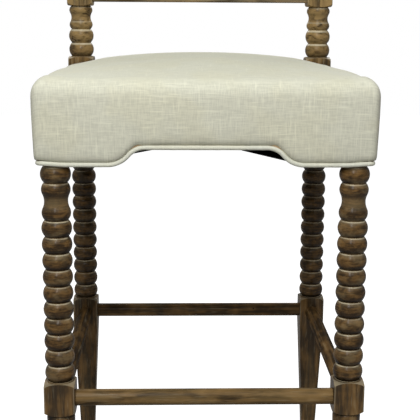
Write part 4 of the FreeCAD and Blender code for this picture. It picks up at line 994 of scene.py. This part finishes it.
def piping_path():
    """The front piping: up one side, round the front corners and along the scallop."""
    radius = PIPING_RADIUS
    side = WELT_HIGH.x - radius + PIPING_OUT
    front = WELT_LOW.y + radius
    z = COVER_LOW.z - radius
    corner = settings().seat.corner / 2
    points = [(-side, y, z) for y in np.linspace(WELT_HIGH.y, front + corner, SIDE_POINTS)]
    for turn in np.linspace(0, math.pi / 2, ARC_POINTS)[1:]:
        points.append((-side + corner * (1 - math.cos(turn)), front + corner * (1 - math.sin(turn)), z))
    xs = np.linspace(-side + corner, 0, SCALLOP_POINTS)[1:]
    edge = scallop_height(xs)
    slope = np.gradient(edge, xs)
    steep = np.sqrt(1 + slope ** 2)
    for x, rise, tilt, long in zip(xs, edge, slope, steep):
        points.append((x + radius * tilt / long, front, COVER_LOW.z + rise - radius / long))
    points = [(x, y, height + corner_rise(x, y)) for x, y, height in points]
    points += [(-x, y, height) for x, y, height in reversed(points[:-1])]
    return points


# Operators

def finish_nodes(names, material):
    """Gives CAD pieces a finish."""
    for name in names:
        NODES[name].data.materials.clear()
        NODES[name].data.materials.append(material)


class FinishShowWood(bpy.types.Operator):
    """Limes the turned legs, posts, stretchers and back rails"""
    bl_idname = "bar_chair.show_wood"
    bl_label = "Show wood"

    def execute(self, context):
        finish_nodes(UPRIGHTS, limed_wood("limed_wood_upright", "z"))
        finish_nodes(CROSS_RAILS, limed_wood("limed_wood_cross", "x"))
        finish_nodes(SIDE_RAILS, limed_wood("limed_wood_side", "y"))
        return {"FINISHED"}


class FinishSeatFrame(bpy.types.Operator):
    """Finishes the wood and steel inside the seat and back, and the foot glides"""
    bl_idname = "bar_chair.seat_frame"
    bl_label = "Seat frame"

    def execute(self, context):
        finish_nodes(HIDDEN_WOOD, plain_wood())
        finish_nodes(("corner_block_screws", "dust_cover_staples"), plated_steel())
        finish_nodes(("foot_glides",), dark_nylon())
        return {"FINISHED"}


STRAPS = 4
STRAP_HALF_WIDTH = 0.025
STRAP_POINTS = 90
# A strap rises and falls by its lift where it crosses others, steeply, and lies flat between.
STRAP_LIFT = 0.0006
STRAP_STEEPNESS = 1.7
HESSIAN_GAP = 0.002
HESSIAN_STEP = 0.012


class WeaveDeck(bpy.types.Operator):
    """Weaves the webbing over the seat rails and lays the hessian on it"""
    bl_idname = "bar_chair.deck"
    bl_label = "Webbing and hessian"

    def execute(self, context):
        webbing = jute("jute_webbing", pitch=0.0016)
        for way, name, node in ((0, "cross_webbing", "webbing_crosswise"),
                                (1, "long_webbing", "webbing_lengthwise")):
            piece = new_piece(name, *self.straps(way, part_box(node)), webbing, "webbing")
            thicken(piece, thickness=0.0011, offset=0)
            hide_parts(node)
        self.hessian()
        return {"FINISHED"}

    def straps(self, way, box):
        """Points and faces of the straps that run one way: 0 is along X, and 1 along Y."""
        level = (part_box("webbing_crosswise")[1].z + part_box("webbing_lengthwise")[0].z) / 2
        start = (HALF_STOCK - LEG_X, FRONT_Y + HALF_STOCK)
        pitch = (-2 * start[0] / STRAPS, (POST_LOW.y - start[1]) / STRAPS)
        lift = (STRAP_LIFT, -STRAP_LIFT)[way]
        points = []
        faces = []
        for strap in range(STRAPS):
            middle = start[1 - way] + pitch[1 - way] * (strap + 0.5)
            first = len(points)
            for place in np.linspace(box[0][way], box[1][way], STRAP_POINTS):
                crossing = (place - start[way]) / pitch[way] - 0.5
                wave = np.clip(STRAP_STEEPNESS * math.cos(math.pi * (crossing + strap)), -1, 1)
                for edge in (middle - STRAP_HALF_WIDTH, middle + STRAP_HALF_WIDTH):
                    spot = (edge, place) if way else (place, edge)
                    points.append((*spot, level + lift * wave))
            faces += [(k, k + 1, k + 3, k + 2) for k in range(first, len(points) - 2, 2)]
        return points, faces

    def hessian(self):
        notch_x = POST_LOW.x - HESSIAN_GAP
        notch_y = POST_LOW.y - HESSIAN_GAP
        xs = graded(HESSIAN_LOW.x, HESSIAN_HIGH.x, HESSIAN_STEP, -notch_x, notch_x)
        ys = graded(HESSIAN_LOW.y, HESSIAN_HIGH.y, HESSIAN_STEP, notch_y)
        level = (HESSIAN_LOW.z + HESSIAN_HIGH.z) / 2

        def height(x, y):
            return level

        def keep(x, y):
            return abs(x) < notch_x or y < notch_y

        sheet = cloth_grid("hessian", xs, ys, height, keep, HESSIAN_HIGH.z - HESSIAN_LOW.z,
                           jute("hessian_cloth", pitch=0.0021), "webbing")
        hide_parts("seat_hessian")


# The cover is held this far round the posts, and by this much along its top edges.
POST_HOLD = 0.006
EDGE_HOLD = 0.6
# The filling lies this far inside the foam's sides, and above its underside.
FOAM_INSET = 0.005
FOAM_LIFT = 0.0015


class CoverSeat(bpy.types.Operator):
    """Fills the linen seat cover and puts its foam inside"""
    bl_idname = "bar_chair.seat"
    bl_label = "Seat cushion"

    def execute(self, context):
        seat = settings().seat
        form = seat_form(seat.slack, seat.top_slack)
        cloth = linen("oat_linen", settings().linen.oat, strength=1.0)
        cover = new_piece("seat_cushion", *form, cloth, "linen")

        def held(points):
            x, y, z = points.T
            low = tacked(z - seat_seam(x, y), full=0.004, fade=0.010)
            post = (np.abs(x) > POST_LOW.x - POST_HOLD) & (y > POST_LOW.y - POST_HOLD)
            across = COVER_HIGH.x - np.abs(x)
            along = COVER_HIGH.y - np.abs(y)
            rim = np.minimum(across, along) - seat.edge / 2
            edge = np.exp(-(rim / seat.edge) ** 2) * (z > COVER_HIGH.z - seat.crown - seat.edge)
            return np.maximum(np.maximum(low, post), EDGE_HOLD * edge)

        fill_out(cover, held, seat)
        skin(cover, thickness=0.004)
        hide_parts("seat_cover", "front_rail_padding", "side_rail_padding_left",
                    "side_rail_padding_right", "rear_rail_padding")
        form = seat_form(COVER_HIGH.x - FOAM_HIGH.x + FOAM_INSET, 0, FOAM_LOW.z + FOAM_LIFT)
        foam = new_piece("seat_filling", *form, foam_rubber(), "filling")
        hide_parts("seat_foam")
        return {"FINISHED"}


class PipeSeat(bpy.types.Operator):
    """Sews the piping along the lower edge of the seat"""
    bl_idname = "bar_chair.seat_piping"
    bl_label = "Seat piping"

    def execute(self, context):
        cloth = linen("piping_linen", settings().linen.piping, strength=0.5)
        front = tube("front_piping", piping_path(), PIPING_RADIUS, False, cloth, "linen")
        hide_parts("seat_welt")
        middle = (REAR_WELT_LOW + REAR_WELT_HIGH) / 2
        path = [(x, middle.y, middle.z) for x in np.linspace(REAR_WELT_LOW.x, REAR_WELT_HIGH.x, REAR_POINTS)]
        rear = tube("rear_piping", path, PIPING_RADIUS, False, cloth, "linen")
        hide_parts("rear_welt")
        return {"FINISHED"}


DUST_THICKNESS = 0.0008
DUST_SAG = 0.002
DUST_STEP = 0.008
# The front edge of the dust cloth rises behind the scallop to a peak, and is down at these ends.
DUST_LEFT, DUST_PEAK, DUST_RIGHT = -0.151, -0.007, 0.111
# It is cut this far from a leg's axis and from a post's face, and sags up to this far from their axes.
LEG_CUT = 0.021
POST_CUT = 0.0035
SAG_SIDE = 0.004
SAG_REAR = 0.010


class CloseUnderside(bpy.types.Operator):
    """Stretches the black dust cover under the seat"""
    bl_idname = "bar_chair.dust_cover"
    bl_label = "Dust cover"

    def execute(self, context):
        leg_x = LEG_X - LEG_CUT
        leg_y = FRONT_Y + LEG_CUT
        post_x = POST_LOW.x - POST_CUT
        post_y = POST_LOW.y - POST_CUT
        flat_from = DUST_HIGH.y - (RAIL_HIGH.y - RAIL_LOW.y)
        base = RAIL_LOW.z - DUST_THICKNESS / 2
        peak = DUST_HIGH.z - RAIL_LOW.z
        xs = graded(DUST_LOW.x, DUST_HIGH.x, DUST_STEP, -leg_x, leg_x, -post_x, post_x,
                    DUST_LEFT, DUST_PEAK, DUST_RIGHT)
        ys = graded(DUST_LOW.y, DUST_HIGH.y, DUST_STEP, leg_y, post_y, flat_from)

        def height(x, y):
            back = min(1.0, (y - DUST_LOW.y) / (flat_from - DUST_LOW.y))
            reach = DUST_RIGHT - DUST_PEAK if x > DUST_PEAK else DUST_PEAK - DUST_LEFT
            lift = peak * max(0.0, 1 - abs(x - DUST_PEAK) / reach) * (1 - back)
            across = max(0.0, 1 - (x / (LEG_X - SAG_SIDE)) ** 2)
            along = max(0.0, 1 - (y / (REAR_Y - SAG_REAR)) ** 2)
            return base + lift - DUST_SAG * across * along * back

        def keep(x, y):
            return not (abs(x) > leg_x and y < leg_y) and not (abs(x) > post_x and y > post_y)

        sheet = cloth_grid("dust_cloth", xs, ys, height, keep, DUST_THICKNESS, dust_cloth(), "black_cloth")
        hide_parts("dust_cover")
        return {"FINISHED"}


class CoverBack(bpy.types.Operator):
    """Pads the front of the back, pipes its edge and covers the outside"""
    bl_idname = "bar_chair.back"
    bl_label = "Back cushion"

    def execute(self, context):
        back = settings().back
        cloth = bpy.data.materials["oat_linen"]
        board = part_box("back_board")
        half = PAD_HIGH.x
        tall = (PAD_HIGH.z - PAD_LOW.z) / 2
        middle = (PAD_HIGH.z + PAD_LOW.z) / 2
        seam = board[0].y - PAD_HIGH.y
        edge = board[0].y - PAD_LOW.y - back.crown
        facing = Matrix.Translation((0, board[0].y, middle)) @ Matrix.Rotation(math.pi / 2, 4, "X")
        form = back_form(half - back.slack, tall - back.slack, seam, edge - back.slack, back.crown,
                         back.edge, back.corner, back.roll, back.draw)
        pad = new_piece("back_cushion", *form, cloth, "linen")

        def held(points):
            return tacked(points[:, 2] - seam, full=0.002, fade=0.004)

        fill_out(pad, held, back)
        pad.data.transform(facing)
        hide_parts("back_cover", "back_foam")
        behind = Matrix.Translation((0, board[1].y, middle)) @ Matrix.Rotation(-math.pi / 2, 4, "X")
        thick = OUTSIDE_HIGH.y - board[1].y
        form = back_form(half, tall, low=0.0003, edge=thick - back.outside_crown, crown=back.outside_crown,
                         bend=back.outside_edge, corner=back.corner / 3, roll=0.0005, draw=0.0)
        panel = new_piece("outside_back_cover", *form, cloth, "linen")
        panel.data.transform(behind)
        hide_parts("outside_back")
        radius = (BACK_WELT_HIGH.y - BACK_WELT_LOW.y) / 2
        outline = back_outline(half - radius, tall - radius, back.corner, step=0.003).drawn_in([0] * 4)
        depth = (BACK_WELT_HIGH.y + BACK_WELT_LOW.y) / 2
        path = [(x, depth, middle + z) for x, z in outline]
        piping = tube("back_piping", path, radius, True, bpy.data.materials["piping_linen"], "linen")
        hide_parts("back_welt")
        return {"FINISHED"}


WHITE = (1.0, 1.0, 1.0)
# Each lamp's name, place, aim, width and height, and tint.
LAMPS = (
    ("key", (-0.3, -1.5, 1.85), (0, -0.1, 0.6), (0.3, 1.3), WHITE),
    ("fill", (0.35, -1.6, 1.85), (0, -0.1, 0.6), (0.3, 1.3), WHITE),
    ("overhead", (0.0, -0.40, 2.0), (0, 0, 0.75), (0.6, 0.6), (0.92, 0.98, 1.0)),
    ("behind", (-0.60, 1.75, 1.55), (0, 0.2, 0.7), (0.5, 0.5), WHITE),
    ("behind", (0.60, 1.75, 1.55), (0, 0.2, 0.7), (0.5, 0.5), WHITE),
)
# The shadow is whole within this share of its reach, where the floor keeps this share of its glow.
SHADOW_CORE = 0.4
SHADOW_GLOW = 0.7


class SetStage(bpy.types.Operator):
    """Makes the floor, the lamps and the camera"""
    bl_idname = "bar_chair.stage"
    bl_label = "Stage"

    def execute(self, context):
        studio = settings().studio
        scene = context.scene
        scene.view_settings.view_transform = "Standard"
        self.floor(studio)
        sky = Nodes("studio", bpy.data.worlds, "Background")
        scene.world = sky.finish(Color=WHITE, Strength=sky.either(sky.seen(), studio.ambient, 1.0))
        for lamp in LAMPS:
            self.lamp(studio, *lamp)
        camera = put_in_scene("camera", bpy.data.cameras.new("camera"))
        camera.data.lens = studio.lens
        camera.matrix_world = (Matrix.Translation(studio.eye) @ Matrix.Rotation(-studio.yaw, 4, "Z")
                               @ Matrix.Rotation(math.pi / 2 - studio.pitch, 4, "X")
                               @ Matrix.Rotation(studio.roll, 4, "Z"))
        scene.camera = camera
        return {"FINISHED"}

    def floor(self, studio):
        half = studio.reach / 2
        mesh = bpy.data.meshes.new("floor")
        mesh.from_pydata([(half * x, half * y, 0) for x, y in SQUARE], [], [(0, 1, 2, 3)])
        n = Nodes("pale_floor")
        away = n.add("VectorMath", {0: n.place()}, "Value", operation="LENGTH")
        lift = n.add("MapRange", {0: away, 1: studio.shade * SHADOW_CORE, 2: studio.shade,
                                  3: studio.glow * SHADOW_GLOW, 4: studio.glow})
        mesh.materials.append(n.finish(Base_Color=studio.floor, Roughness=0.9, Specular_IOR_Level=0.1,
                                       Emission_Color=WHITE, Emission_Strength=n.times(n.seen(), lift)))
        put_in_scene("floor", mesh)

    def lamp(self, studio, name, place, aim, size, tint):
        data = bpy.data.lights.new(name, "AREA")
        data.color = tint
        data.shape = "RECTANGLE"
        data.size, data.size_y = size
        data.energy = getattr(studio, name)
        lamp = put_in_scene(name, data)
        lamp.location = place
        lamp.rotation_euler = (Vector(aim) - Vector(place)).to_track_quat("-Z", "Y").to_euler()


STEPS = (FinishShowWood, FinishSeatFrame, WeaveDeck, CoverSeat, PipeSeat, CloseUnderside, CoverBack,
         SetStage)


class BarChairPanel(bpy.types.Panel):
    """Lists the chair's pieces and sizes"""
    bl_idname = "VIEW3D_PT_bar_chair"
    bl_label = "Bar Chair"
    bl_space_type = "VIEW_3D"
    bl_region_type = "UI"
    bl_category = "Bar Chair"

    def draw(self, context):
        for step in STEPS:
            self.layout.operator(step.bl_idname)
        for name in ("timber", "linen", "seat", "back", "studio"):
            group = getattr(context.scene.bar_chair, name)
            box = self.layout.box()
            box.label(text=name.capitalize())
            for key in group.bl_rna.properties.keys():
                if key not in ("rna_type", "name"):
                    box.prop(group, key)


CLASSES = (TimberFinish, LinenFinish, SeatShape, BackShape, Studio, BarChairSettings, *STEPS, BarChairPanel)


def register():
    for made in CLASSES:
        bpy.utils.register_class(made)
    bpy.types.Scene.bar_chair = PointerProperty(type=BarChairSettings)


def unregister():
    del bpy.types.Scene.bar_chair
    for made in reversed(CLASSES):
        bpy.utils.unregister_class(made)


def main():
    register()
    for step in STEPS:
        group, name = step.bl_idname.split(".")
        getattr(getattr(bpy.ops, group), name)()


if __name__ == "__main__":
    main()
